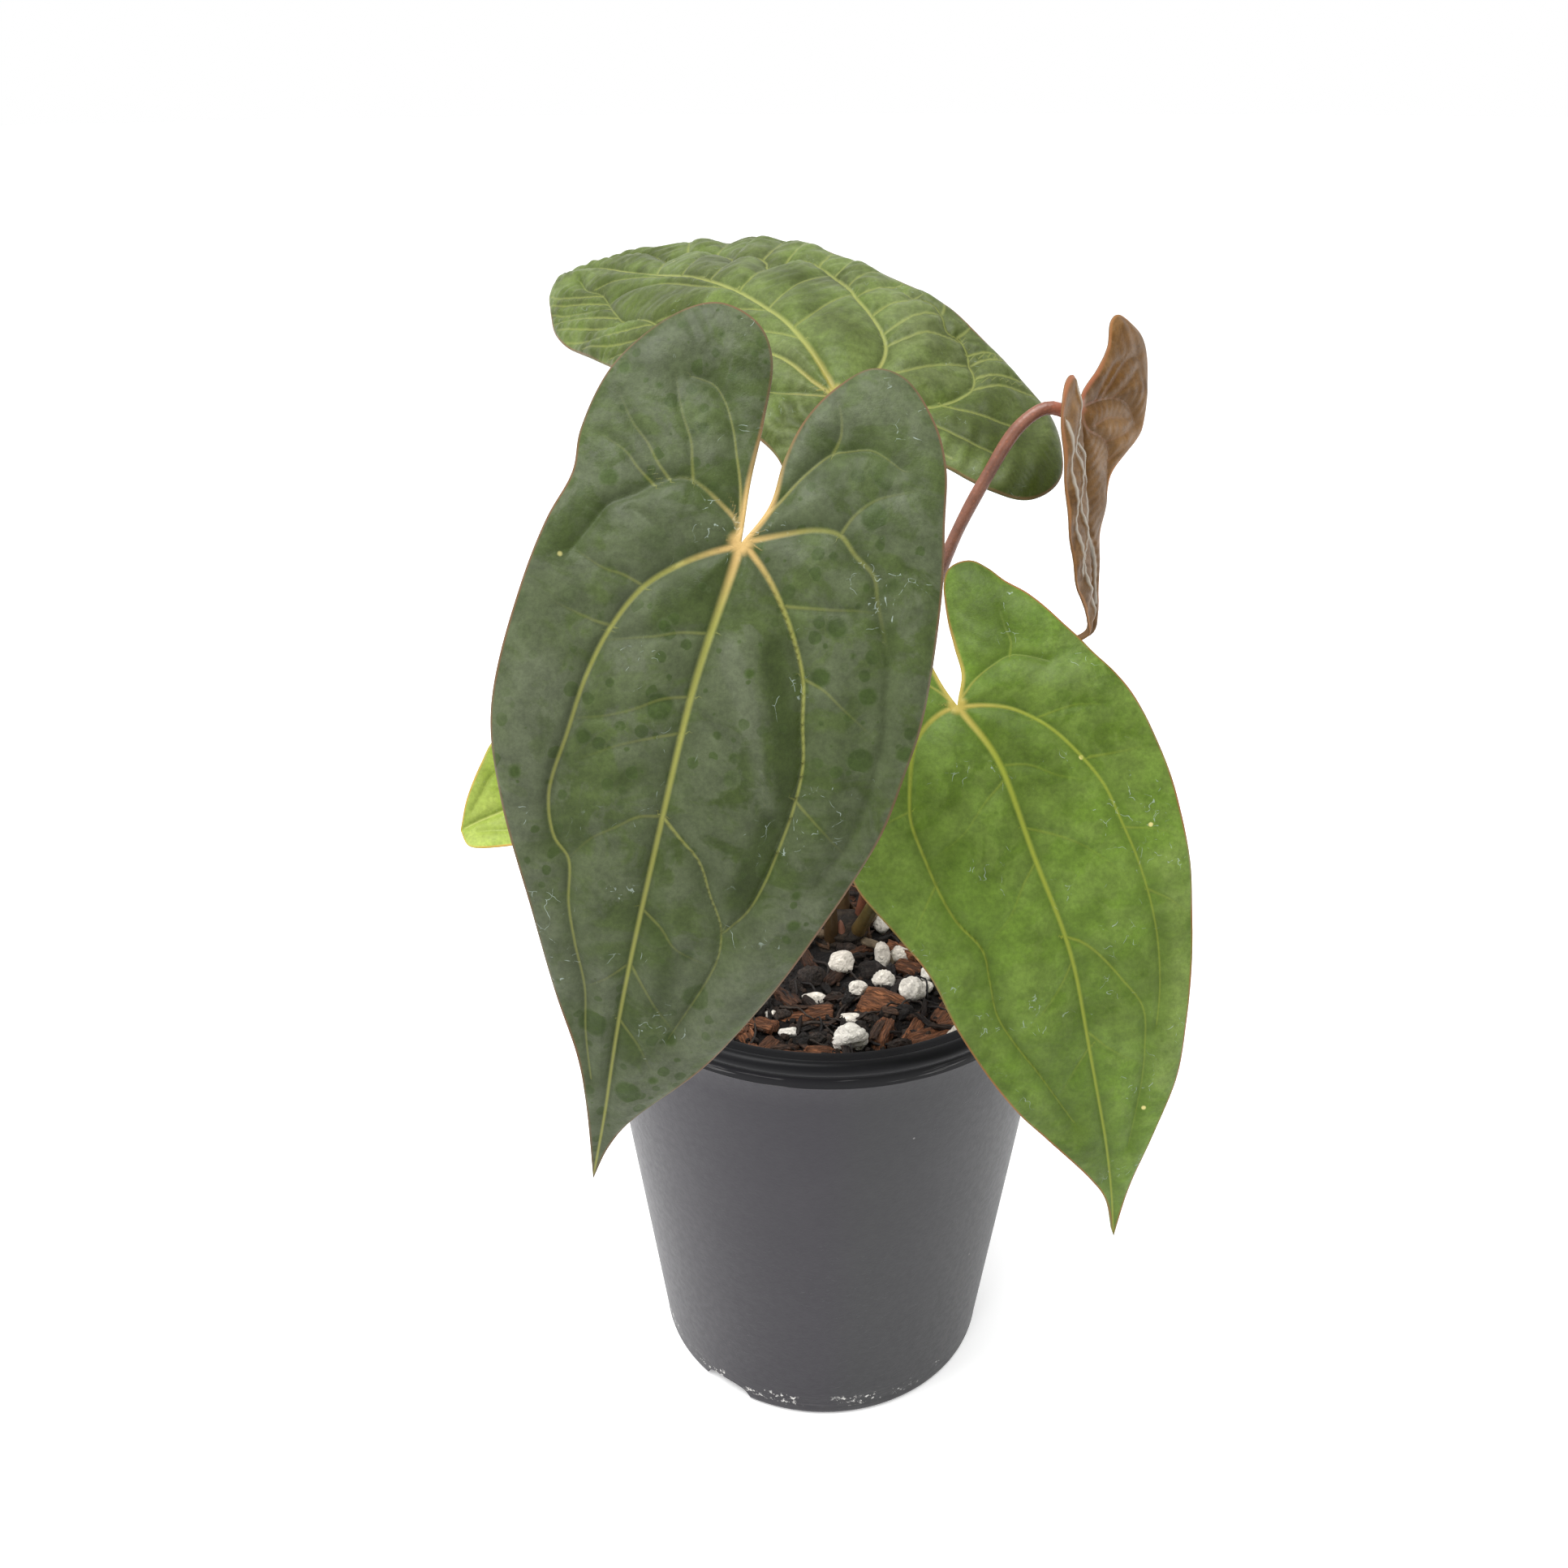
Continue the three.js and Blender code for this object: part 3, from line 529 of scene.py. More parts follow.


# %% [markdown]
# ## Leaves: veins
# Veins decide the look of these leaves. On the upper face they lie in grooves, and the blade between
# them swells like a quilt. A picture of veins could be painted on, but a drawn line per vein does more:
# its distance gives the groove, the swelling and the colour at once. Each line is a row of flat places,
# s and w in turn. Its kind sets how wide, deep and bright it is at its start and its end, and a number
# after the lines lets the blade step down beside them. Ridges rise as folds do, and the young leaf's
# ridges also carry a thin pale line of painted sheen. Tints are soft strokes that make a leaf paler
# (above 0) or deeper (below 0). Some are the leaf's own paler and deeper patches, and others are painted
# light: painted highlights along raised folds, and painted shade in folds and on parts turned from the
# light.

# %% Vein lines
KINDS = {
    "midrib": {"half": (0.95, 0.24), "depth": 0.55, "tone": (1.0, 0.75), "group": "rib"},
    "main": {"half": (0.66, 0.18), "depth": 0.55, "tone": (1.0, 0.25), "group": "main"},
    "outer": {"half": (0.60, 0.20), "depth": 0.5, "tone": (0.95, -0.75), "group": "main"},
    "thin": {"half": (0.42, 0.15), "depth": 0.4, "tone": (0.6, 0.1), "group": "main"},
    "lateral": {"half": (0.36, 0.2), "depth": 0.4, "tone": (0.32, 0.02), "group": "side"},
    "clear": {"half": (0.50, 0.36), "depth": 0.5, "tone": (0.50, 0.34), "group": "side"},
    "fold": {"half": (0.8, 0.6), "depth": 0.6, "tone": (0.0, 0.0), "group": "side"},
}
VEINS = {
    "front": [
        ("midrib", [[0, 0, 26, -0.6, 61, 0, 112, 0, 140, 0.5, 163, 0]]),
        ("outer", [[-1, -1, -4, -2, -7, -6, -10, -11, -11, -14, -10, -18, -8, -21, -5, -24, -1, -29,
                    4, -31, 12, -34]]),
        ("main", [[1, -1, 4, -6, 8, -11, 15, -17, 25, -21, 35, -23, 48, -24, 62, -25, 71, -22,
                   75, -18, 85, -16, 94, -13, 105, -9, 117, -7, 130, -4]]),
        ("thin", [[-3, -1, -12, -3, -18, -5, -24, -7, -30, -10, -33, -13, -34, -18],
                  [-3, 1.6, -6, 3.5, -10, 6, -15, 9, -19, 12, -22, 15, -23, 18, -24, 23, -21, 30]]),
        ("lateral", [[-22, 15, -26, 16, -31, 15, -33, 14]]),
        ("outer", [[-1, 2, -4, 9, -6, 15, -6, 20, -3, 24, 0, 29, 4, 31, 9, 34, 14, 37, 21, 39, 28, 41,
                    42, 42, 54, 41, 68, 36]]),
        ("main", [[1, 2, 5, 7, 9, 11, 15, 16, 23, 21, 33, 24, 42, 26.5, 52, 27, 64, 26, 71, 25,
                   78, 23, 84, 19]], -1.3),
        ("thin", [[61, 0, 65, 5, 69, 10, 76, 14, 83, 18, 90, 19, 96, 18, 103, 16, 115, 12]], -0.5),
        ("lateral", [[61, 0, 62, -5, 65, -9, 69, -14, 75, -18], [97, 0, 101, -4, 105, -9],
                     [97, 0, 102, 4, 107, 8, 113, 13], [112, 0, 117, 5, 123, 9],
                     [15, -17, 14, -22, 14, -26, 12, -33],
                     [-11, -13, -15, -14, -19, -15, -25, -18, -33, -21],
                     [-10, -18, -13, -21, -17, -24, -21, -28, -27, -32],
                     [-8, -21, -11, -25, -14, -28, -17, -34]]),
        ("fold", [[8, -11, 4, -15, 1, -19, -1, -24]]),
        ("lateral", [[25, -21, 25, -25, 24, -33], [34, 0, 36, -6, 40, -12, 43, -18, 45, -24],
                     [20, 0, 22, -7, 24, -11, 26, -16, 28, -21], [42, 0, 45, -7, 48, -13, 52, -19],
                     [-6, 20, -10, 22, -14, 26, -17, 33], [10, 13, 9, 18, 8, 23, 7, 27, 6, 33],
                     [23, 21, 24, 26, 26, 30, 30, 38]]),
        ("fold", [[36, 0, 39, 5, 43, 11, 48, 14, 53, 19, 57, 25]]),
        ("lateral", [[50, 27, 54, 33, 59, 40], [83, 0, 86, 5, 90, 9, 93, 17]]),
    ],
    "right": [
        ("midrib", [[0, 0, 9.9, 0.6, 32, 0, 69, 0.6, 99, -0.6, 136, 0.6, 161, 0.6, 173, 0]]),
        ("main", [[0.9, 1, 3.1, 6.1, 6.9, 11.2, 13.1, 15.1, 24.7, 20, 35.4, 24, 42, 25, 56.4, 26,
                   74.6, 25, 91.2, 22, 102.3, 19]]),
        ("thin", [[-1.1, 1.6, -4.8, 7, -7.2, 13, -8.4, 18, -6.4, 22, -1.5, 27.1]]),
        ("lateral", [[-8.4, 18, -13.1, 19.1, -18.4, 18.1, -24.8, 17],
                     [13.1, 15.1, 13.8, 21.2, 14.9, 26.1, 18.1, 32],
                     [28.1, 23, 29.5, 29.1, 30.9, 37.1],
                     [38, 0, 42.3, 7, 46.2, 12, 50.8, 16, 58.5, 21]]),
        ("thin", [[70, 0, 72.9, 4, 76.9, 7, 87, 12, 96.2, 16, 108.2, 15, 120.1, 13, 140, 7]]),
        ("main", [[0.1, -1, 0.3, -5, 1.8, -10, 4.7, -15.1, 8.9, -19.3, 16.7, -25.2, 23, -28,
                   37.5, -28, 54.5, -26, 65.5, -22, 74.4, -23, 85.9, -24, 96.7, -21, 105.8, -17,
                   112.8, -14, 127, -8]], 0.8),
        ("lateral", [[48, 0, 52.1, -5, 59.3, -12, 62.4, -17, 65.5, -21]]),
        ("thin", [[-1, -1, -5.1, -3, -9.4, -7, -15, -14, -19.5, -22.1, -18.9, -30.1]]),
        ("lateral", [[78, 0, 83, -5, 87.9, -11, 93.8, -19], [20, 0, 23.2, 7, 28.7, 13, 33.3, 21],
                     [24, 0, 27.5, -8, 32.9, -16, 36.5, -26], [104, 0, 109.9, -6, 116.9, -11],
                     [100, 0, 106.1, 5, 113.2, 13], [47.3, 26, 49.7, 32, 53.3, 38],
                     [65.5, 26, 70.4, 31, 75.5, 34], [44.3, -28, 50.3, -34, 56.8, -40],
                     [20.3, -27, 20.4, -34, 21.4, -42]]),
    ],
    "top": [
        ("midrib", [[0, 0, 20, 0.6, 45, 0, 96, 0.6, 151, 0, 190, 0]]),
        ("main", [[-1, -2, 0, -9, 5, -17, 11, -22, 18, -24, 26, -24.5, 36, -25, 44, -27, 55, -29,
                   67, -30, 76, -27, 81, -18, 87, -21, 94, -21, 99, -15, 108, -20, 121, -23, 134, -22,
                   142, -14, 153, -16, 166, -14, 182, -5]], 0.4),
        ("main", [[-2, -1.6, -8, -10, -12, -18, -13, -24, -13, -30, -12, -36, -10, -41, -6, -44,
                   -1, -45, 4, -47, 9, -47, 12, -44, 18, -45, 24, -44, 28, -41, 34, -41]]),
        ("clear", [[70, 0, 75, -9, 81, -18], [90, 0, 94, -7, 99, -15],
                   [110, 0, 114, -8, 118, -15, 121, -23], [128, 0, 137, -10, 142, -14],
                   [32, 0, 35, -9, 38, -17, 40, -25], [50, 0, 54, -10, 57, -20, 60, -29],
                   [37, -25, 38, -34, 38, -42], [26, -25, 28, -32, 28, -39, 28, -43],
                   [17, -24, 19, -34, 19, -41, 18, -45], [12, -23, 12, -30, 12, -37, 10, -43, 8, -47],
                   [2, -13, 0, -22, 0, -29, 0, -38, -1, -45], [46, -27, 48, -33, 49, -40],
                   [58, -30, 60, -35, 62, -40], [68, -30, 71, -35, 74, -39],
                   [79, -24, 83, -31, 87, -38], [90, -22, 95, -30, 101, -38],
                   [106, -20, 111, -29, 117, -38], [122, -23, 128, -31, 134, -38],
                   [137, -20, 144, -26, 150, -31], [3, -47, 2, -52, -1, -56],
                   [-1, -45, -1, -51, -3, -57], [-6, -45, -7, -50, -10, -57],
                   [-10, -42, -11, -49, -15, -59], [-13, -30, -17, -34, -21, -39, -24, -43, -28, -50],
                   [-12, -18, -18, -22, -25, -27, -30, -31, -37, -38],
                   [-8, -10, -16, -12, -26, -17, -35, -24], [10, -47, 11, -50, 12, -52],
                   [18, -45, 20, -47, 23, -49]]),
        ("main", [[0, 1.5, 8, 5, 16, 7.5, 24, 10, 38, 15, 54, 19, 72, 22, 90, 24, 107, 24, 118, 25,
                   128, 22, 138, 18, 148, 14, 160, 13, 172, 8]]),
        ("thin", [[-1, 1.5, 5, 10, 9, 16, 16, 22, 28, 28, 44, 32],
                  [-2, 1.5, -10, 6, -22, 8, -34, 9, -42, 12]]),
        ("clear", [[73, 0, 88, 4, 104, 6, 118, 8, 130, 11, 139, 17],
                   [95, 0, 112, 1.5, 132, 2.5, 146, 7, 154, 12],
                   [48, 0, 60, 6, 72, 12, 84, 18, 94, 24], [24, 0, 36, 6, 48, 12, 58, 19],
                   [141, 17, 153, 20, 164, 23, 174, 23], [134, 20, 146, 24, 158, 27, 168, 27],
                   [124, 24, 134, 26, 146, 28, 160, 31], [108, 24, 121, 29, 137, 32, 152, 34],
                   [93, 24, 107, 32, 125, 36, 142, 38], [78, 22, 91, 31, 107, 38, 125, 40],
                   [62, 20, 74, 29, 88, 37, 100, 42], [46, 17, 56, 26, 68, 35, 78, 42],
                   [30, 12, 38, 20, 48, 28, 58, 36, 64, 42], [148, 14, 160, 18, 172, 20, 180, 18]]),
    ],
    "new": [
        ("midrib", [[0, 0, 12, -1, 24, -1.2, 44, -0.6, 60, 0, 72, 0]]),
        ("thin", [[0, 1, -0.3, 4, -0.8, 10, -0.4, 16.7, 1.8, 22.4, 5.8, 26, 10.3, 28],
                  [1, 1, 5, 2, 7.1, 3.6, 9, 7.2, 11.9, 11.1, 16.1, 13.2, 22.2, 12, 27, 10]]),
        ("lateral", [[-0.4, 16.7, -3.2, 20.6, -6.1, 25, -8, 28],
                     [-0.8, 8, -6.6, 12.5, -10.5, 17, -12.2, 22.3],
                     [11.9, 11.1, 11.2, 19.7, 10.3, 25, 9.7, 30], [18, 13, 16, 18, 14.6, 25],
                     [6, 6, 5, 12, 6, 18, 7, 24], [-2, 12, -8, 18, -12, 25, -13, 31]]),
    ],
    "small": [
        ("midrib", [[0, 0, 12, 0, 22, 0.3, 34, 0]]),
        ("thin", [[0, -1, 1.7, -8, 7.5, -12.5, 18.3, -12, 23.6, -8, 29, -4],
                  [0, 1, 3.3, 6, 10.1, 9, 19.9, 8.5, 30, 4]]),
        ("lateral", [[-1, -1, -3.9, -7, -5.8, -13], [10, 0, 14.2, -5, 17.4, -11],
                     [8, 0, 11.9, 4, 15.5, 8.1]]),
    ],
}
RIDGES = {
    "front": [
        (0.8, 3.0, 0, [23, 5, 32, 12, 42, 17, 52, 22]),
        (0.4, 1.4, 0, [62, -27, 58, -27, 48, -26, 37, -24]),
    ],
    "new": [
        (0.9, 0.8, 1, [-7.5, -5.4, -2.4, -6.5, 2, -6.3, 5.7, -10.4, 7.9, -13, 14.6, -10.5,
                       22.3, -11.5, 28.4, -10.3, 35.1, -8.6, 40.4, -10.7, 48.1, -9.4, 55.6, -3.7,
                       62, -0.8]),
        (0.9, 0.8, 1, [8.5, -9.9, 16, -4.6, 22.2, -1.6, 28.5, -0.6, 34.5, -1, 41.1, 0.4, 48.4, 1.6,
                       58, 0.6]),
        (0.9, 0.8, 1, [2, -17, 14, -16, 26, -15.4, 36, -13.6, 45, -12]),
    ],
}
TINTS_AND_PAINTED_LIGHT = {
    "front": [
        (0.8, 2.6, [23, 5, 32, 12, 42, 17, 52, 22]), (0.8, 1.7, [62, -26, 58, -26, 48, -25, 37, -23]),
        (0.5, 5.0, [19, -19, 28, -14, 37, -14]),
        (-0.9, 4.5, [10, -6, 16, -10, 23, -13]), (-1.0, 3.4, [19, 13, 30, 18, 40, 22, 56, 23, 76, 20]),
        (-0.7, 3.0, [55, -11, 52, -7]),
        (-0.7, 3.5, [84, 3, 96, 8, 108, 9]), (0.6, 5.0, [100, -7, 120, -4]),
        (0.5, 5.0, [60, 38, 80, 34, 98, 26]),
        (0.5, 8.0, [40, -32, 80, -26, 105, -14]), (0.6, 6.0, [100, 22, 120, 14, 135, 6]),
        (0.7, 6.0, [138, 0, 162, 0]),
        (-0.5, 6.0, [26, 33, 56, 34]),
    ],
    "right": [
        (-0.9, 10.0, [-37, 12, -18, 16]), (-0.6, 5.0, [9, 7, 20, 8, 27, 8]),
        (-0.5, 4.0, [10, -18, 24, -22, 40, -22]),
        (0.5, 6, [60, 34, 90, 28, 120, 18]), (-0.5, 9.0, [100, -9, 118, -7, 138, -3]),
    ],
    "top": [
        (-0.5, 9.0, [14, -12, 45, -13, 70, -14]), (0.4, 7.0, [6, 6, 24, 9]),
        (0.3, 10.0, [-4, -33, 28, -36]),
        (-0.5, 14.0, [95, 14, 145, 14]), (-1.0, 13.0, [-48, -48, -38, -44, -26, -36]),
        (-1.0, 4.0, [192, 2, 199, 0]),
    ],
}
print("veins:", {name: sum(len(run[1]) for run in rows) for name, rows in VEINS.items()})

# %% [markdown]
# ## Leaves: relief
# The blade between two big veins swells by a quilt height that rises from 0 at a vein and levels off
# away from it: 1 - exp(-distance / reach). Laterals do the same at a smaller scale. Each vein presses
# its own groove. Finer folds run off the big veins at even steps: a cosine of the length along the
# nearest vein, which leans towards the tip with the distance from it. Their crests are also drawn paler,
# as a painted highlight.

# %% Relief of a leaf
SMALL_REACH = 2.6
FOLD_REACH = 1.5
EDGE_REACH = 14
STEP_REACH = 6.5
PAINTED_SHEEN_HALF = 0.45
FAR = 1e3
RELIEF = {
    "front": {"quilt": 2.0, "small": 0.8, "fine": 0.10, "spacing": 4.6, "reach": 7.0, "crest_highlight": 0.1},
    "right": {"quilt": 1.5, "small": 0.5, "fine": 0.08, "spacing": 5.0, "reach": 7.0, "crest_highlight": 0.0},
    "top": {"quilt": 1.9, "small": 1.5, "fine": 0.4, "spacing": 5.6, "reach": 6.0, "crest_highlight": 0.35},
    "new": {"quilt": 1.2, "small": 0.8, "fine": 0.16, "spacing": 3.0, "reach": 4.0, "crest_highlight": 0.2},
    "small": {"quilt": 0.8, "small": 0.4, "fine": 0.06, "spacing": 3.0, "reach": 3.0, "crest_highlight": 0.0},
}


def line_numbers(count, lines):
    """Signed gap to the nearest line over its half width there, and how clearly it shows. The gap
    runs straight through zero at a line, so a thin line stays sharp on a coarse grid."""
    near, second = np.full(count, FAR), np.full(count, FAR)
    gap, tone = np.full(count, 9.0), np.zeros(count)
    for distance, side, half, strength in lines:
        closer = distance < near
        second = np.where(closer, near, np.minimum(second, distance))
        near = np.where(closer, distance, near)
        gap = np.where(closer, side * distance / half, gap)
        tone = np.where(closer, strength * np.exp(-((distance / 1.8) ** 4)), tone)
    return gap, tone * np.clip((second - near) / 0.9, 0, 1)


def vein_fields(name, places, edge):
    """Groove depth, swelling, tint with painted highlight and shade, and the line numbers of the veins,
    at flat places of a leaf.
    """
    look = RELIEF[name]
    count = len(places)
    near_main, near_any = np.full(count, FAR), np.full(count, FAR)
    groove, step_down, fold_sum = np.zeros(count), np.zeros(count), np.zeros(count)
    fold_weight = np.full(count, 1e-9)
    drawn = {"rib": [], "main": [], "side": [], "pale": []}
    rows = [(KINDS[kind], line, drop) for kind, run, *drop in VEINS[name] for line in run]
    for style, line, drop in rows:
        group = style["group"]
        curve = smooth_line(np.reshape(line, (-1, 2)), 4 * len(line))
        distance, along, side = nearest(places, curve)
        share = along / np.linalg.norm(np.diff(curve, axis=0), axis=1).sum()
        half = style["half"][0] + (style["half"][1] - style["half"][0]) * share**0.4
        strength = style["tone"][0] + (style["tone"][1] - style["tone"][0]) * share**0.7
        strength = np.maximum(strength, 0)
        drawn[group].append((distance, side, half, strength))
        bell = np.exp(-((distance / np.maximum(1.0, 1.6 * half)) ** 2))
        groove = np.maximum(groove, style["depth"] * (1 - 0.5 * share) * bell)
        if group != "side":
            near_main = np.minimum(near_main, distance)
            weight = np.exp(-distance / 2.0) + 1e-6 * np.exp(-distance / 9.0)
            phase = 2 * np.pi * (along + 0.5 * distance) / look["spacing"]
            fold_sum += weight * np.cos(phase)
            fold_weight += weight
        near_any = np.minimum(near_any, distance)
        if drop:
            ends = np.clip(6 * share, 0, 1) * np.clip(5 * (1.02 - share), 0, 1)
            inside = np.where(side * drop[0] > 0, 1.0, 0.0)
            step_down += abs(drop[0]) * ends * inside * np.exp(-((distance / STEP_REACH) ** 2))
    swelling = look["quilt"] * (1 - np.exp(-near_main / look["reach"]))
    swelling += look["small"] * (1 - np.exp(-near_any / SMALL_REACH))
    at_edge = 0.3 + np.exp(-((edge / EDGE_REACH) ** 2))
    folds = fold_sum / fold_weight * (1 - np.exp(-near_any / FOLD_REACH)) * at_edge
    swelling += look["fine"] * folds
    # Painted highlight: the crests of the fine folds are drawn paler, as if they caught the light.
    tint_and_painted_light = look["crest_highlight"] * np.maximum(folds, 0)
    for height, wide, pale, line in RIDGES.get(name, []):
        distance, along, side = nearest(places, smooth_line(np.reshape(line, (-1, 2)), 60))
        swelling += height * np.exp(-((distance / wide) ** 2))
        # A ridge marked 1 also draws a thin line of painted sheen along its top.
        if pale:
            drawn["pale"].append((distance, side, np.full(count, PAINTED_SHEEN_HALF), np.ones(count)))
    # Strokes of tint: partly the leaf's own paler and deeper patches, partly painted highlights along
    # raised folds and painted shade in folds and on parts turned from the light.
    for strength, wide, line in TINTS_AND_PAINTED_LIGHT.get(name, []):
        distance = nearest(places, smooth_line(np.reshape(line, (-1, 2)), 40))[0]
        tint_and_painted_light += strength * np.exp(-((distance / wide) ** 2))
    fields = {"groove": groove + step_down, "swelling": swelling, "near": near_main, "tint_and_painted_light": tint_and_painted_light}
    for group, lines in drawn.items():
        fields[group + "_gap"], fields[group + "_tone"] = line_numbers(count, lines)
    return fields


def edge_points(half):
    """The edge of a half as rows of s and w: the notch from sinus to lobe, the margin to the tip."""
    return np.reshape(half["notch"] + half["margin"][2:], (-1, 2))


def half_places(half, rows, columns):
    """Flat places of one half: straight lines from the midrib, then the sinus edge, to the margin."""
    edge, lobe = edge_points(half), len(half["notch"]) // 2 - 1
    outer = smooth_line(edge, rows, lobe)[::-1]
    turn = round(0.7 * rows)
    tip = edge[-1, 0]
    spine = np.stack([tip * (1 - np.arange(turn + 1) / turn), np.zeros(turn + 1)], -1)
    inner = np.vstack([spine, smooth_line(edge, rows - turn, 0, lobe)[1:]])
    u = np.linspace(0, 1, columns + 1)[None, :, None]
    return inner[:, None] * (1 - u) + outer[:, None] * u, turn


# %% [markdown]
# ## Leaves: the closed blade
# Each half is a grid from tip to lobe and from midrib to margin. Both halves share the points of
# the midrib, so the blade is one sheet with a slit for the sinus. The upper and lower faces are
# the same grid, moved apart by the thickness, and a strip of faces closes the edge. On the lower
# face the veins stand out instead.

# %% Fields on a leaf
THICKNESS = 0.55
RIM_STEPS = 240


def leaf_grid(name, rows, columns):
    """Flat places of one face, by half, row and column, with the fields of its relief and colour.
    The lift is wave + swelling - groove, which dies away towards the edge."""
    leaf = LEAVES[name]
    halves = (leaf["left"], leaf["right"])
    flats, turns_at = zip(*(half_places(half, rows, columns) for half in halves))
    rims = [smooth_line(edge_points(half), RIM_STEPS) for half in halves]
    edge = np.concatenate([nearest(f.reshape(-1, 2), rim)[0] for f, rim in zip(flats, rims)])
    flat = np.stack(flats)
    fields = vein_fields(name, flat.reshape(-1, 2), edge) | {"edge": edge}
    fields = {key: value.reshape(flat.shape[:3]) for key, value in fields.items()}
    v, u = np.meshgrid(np.linspace(0, 1, rows + 1), np.linspace(0, 1, columns + 1), indexing="ij")
    fade_ends = np.minimum(1, np.minimum(5 * v, 5 * (1 - v)))
    phase = 2 * np.pi * leaf["ripples"] * (v + 0.12 * u)
    wave = leaf["ripple"] * np.cos(phase) * np.sqrt(u) * fade_ends
    soft_edge = 1 - np.exp(-fields["edge"] / 4)
    fields["lift"] = wave + (0.35 + 0.65 * soft_edge) * fields["swelling"] - fields["groove"]
    fields["lift"] = fields["lift"] * (1 - np.exp(-(0.3 + fields["edge"]) / 1.2))
    fields["root"] = np.hypot(flat[..., 0], flat[..., 1])
    return leaf, flat, fields, turns_at[0]


# %% [markdown]
# The faces come from a table of point numbers. Points that lie in one place, as along the midrib,
# at the tip and at the ends of the lobes, get the same number. A face with two equal corners
# there becomes a triangle, and one with more is dropped, so that the blade is closed.


# %% Faces of a leaf
def square_faces(n):
    """Faces between neighbours in a table of point numbers."""
    return np.stack([n[:-1, :-1], n[:-1, 1:], n[1:, 1:], n[1:, :-1]], -1).reshape(-1, 4)


def blade_faces(numbers, turn):
    """Upper and lower faces of both halves, and the strips along margin and slit between them."""
    numbers[:, 1, : turn + 1, 0] = numbers[:, 0, : turn + 1, 0]
    numbers[:, :, 0, :] = numbers[:, :1, :1, 0]
    numbers[:, :, -1, :] = numbers[:, :, -1:, 0]
    quads = []
    for face in (0, 1):
        for half in (0, 1):
            faces = square_faces(numbers[face, half])
            quads.append(faces if face != half else faces[:, ::-1])
    for half in (0, 1):
        margin = square_faces(numbers[:, half, :, -1].T)
        slit = square_faces(numbers[:, half, turn:, 0])
        quads += [margin, slit] if half else [margin[:, ::-1], slit[:, ::-1]]
    return np.vstack(quads)


def without_doubles(quads):
    """Quads with four different corners, and triangles from those with three."""
    doubled = (quads == np.roll(quads, -1, 1)).any(1)
    pinched = quads[doubled]
    keep = pinched != np.roll(pinched, -1, 1)
    keep &= np.cumsum(keep, 1) <= 3
    whole = keep.sum(1) == 3
    return quads[~doubled], pinched[whole][keep[whole]].reshape(-1, 3)


# %% Build a leaf
FLAT_SPAN = (280, 140)
FLAT_ORIGIN = (0.25, 0.5)
RIB_HEIGHT = 0.8
SKIN_FIELDS = ("edge", "root", "near", "tint_and_painted_light", "_gap", "_tone")


def new_leaf(name, rows, columns, slot):
    """The closed blade: both faces at lift +- half the thickness, with ribs on the lower one."""
    leaf, flat, fields, turn = leaf_grid(name, rows, columns)
    base, up = bend(leaf, flat[..., 0], flat[..., 1])
    rib = RIB_HEIGHT * np.exp(-((np.abs(fields["near"]) / 1.1) ** 2))
    heights = [fields["lift"] + THICKNESS / 2, fields["lift"] - THICKNESS / 2 - rib]
    points = np.stack([base + up * h[..., None] for h in heights])
    numbers = np.arange(points[..., 0].size).reshape(points.shape[:-1])
    quads, tris = without_doubles(blade_faces(numbers, turn))
    used, back = np.unique(np.concatenate([quads.ravel(), tris.ravel()]), return_inverse=True)
    quads, tris = back[: quads.size].reshape(-1, 4), back[quads.size :].reshape(-1, 3)
    floats = {key: np.stack([value, value]).ravel()[used]
              for key, value in fields.items() if key.endswith(SKIN_FIELDS)}
    floats["upper"] = (used < points[0, ..., 0].size).astype(float)
    uv = np.stack([flat, flat]).reshape(-1, 2)[used] / FLAT_SPAN + FLAT_ORIGIN
    return new_piece(f"leaf_{name}", points.reshape(-1, 3)[used], quads, tris, slot,
                     (f"blade_{name}",), floats, uv)


SIZES = {"front": (240, 74, "old_leaf"), "right": (220, 66, "green_leaf"),
         "top": (240, 76, "pale_leaf"), "new": (140, 54, "bronze_leaf"),
         "small": (76, 38, "lime_leaf")}
leaves = {name: new_leaf(name, *size) for name, size in SIZES.items()}
print("leaf triangles:", sum(2 * len(o.data.polygons) for o in leaves.values()))

# %% [markdown]
# ## Leaf skin
# A velvet leaf is deep green where one looks straight at it and pale where its tiny hairs catch the
# light at a low angle. The shader's sheen does that. The colour underneath is built in layers: cloudy
# green, dull patches where old water drops dried, strokes that are partly the leaf's own paler and
# deeper patches and partly painted highlight and painted shade, round dark spots, painted shade beside
# the big veins, veins, a thin coloured rim, painted sheen lines on the young leaf's ridges, pale
# scratches and a few yellow specks. One group holds the layers, and each leaf sets its own colours and
# amounts.

# %% Skin patterns
def channel(tree, colour, number):
    """One of the three numbers of a colour."""
    return place(tree, "SeparateColor", {0: colour}).outputs[number]


def grey(tree, value):
    """A colour with the same number three times."""
    return place(tree, "CombineColor", {0: value, 1: value, 2: value}).outputs[0]


def stretched(tree, where, scale):
    """A place scaled by three numbers, to draw a pattern out in one direction."""
    return place(tree, "Mapping", {"Vector": where, "Scale": scale}).outputs[0]


def wobbled(tree, where, scale, reach):
    """A place moved to and fro by noise, so that shapes drawn there lose their perfect outline."""
    inputs = {"Vector": where, "Scale": scale, "Detail": 2}
    push = place(tree, "TexNoise", inputs).outputs["Color"]
    inputs = {0: push, 1: (reach, reach, reach)}
    push = place(tree, "VectorMath", inputs, operation="MULTIPLY").outputs[0]
    return shift(tree, where, push)


def line_mask(tree, group):
    """A sharp line where the signed gap passes zero, as clear as the line's tone."""
    gap = sums(tree, "ABSOLUTE", attribute(tree, group + "_gap"))
    return times(tree, fade(tree, gap, 2.0, 0.1), attribute(tree, group + "_tone"))


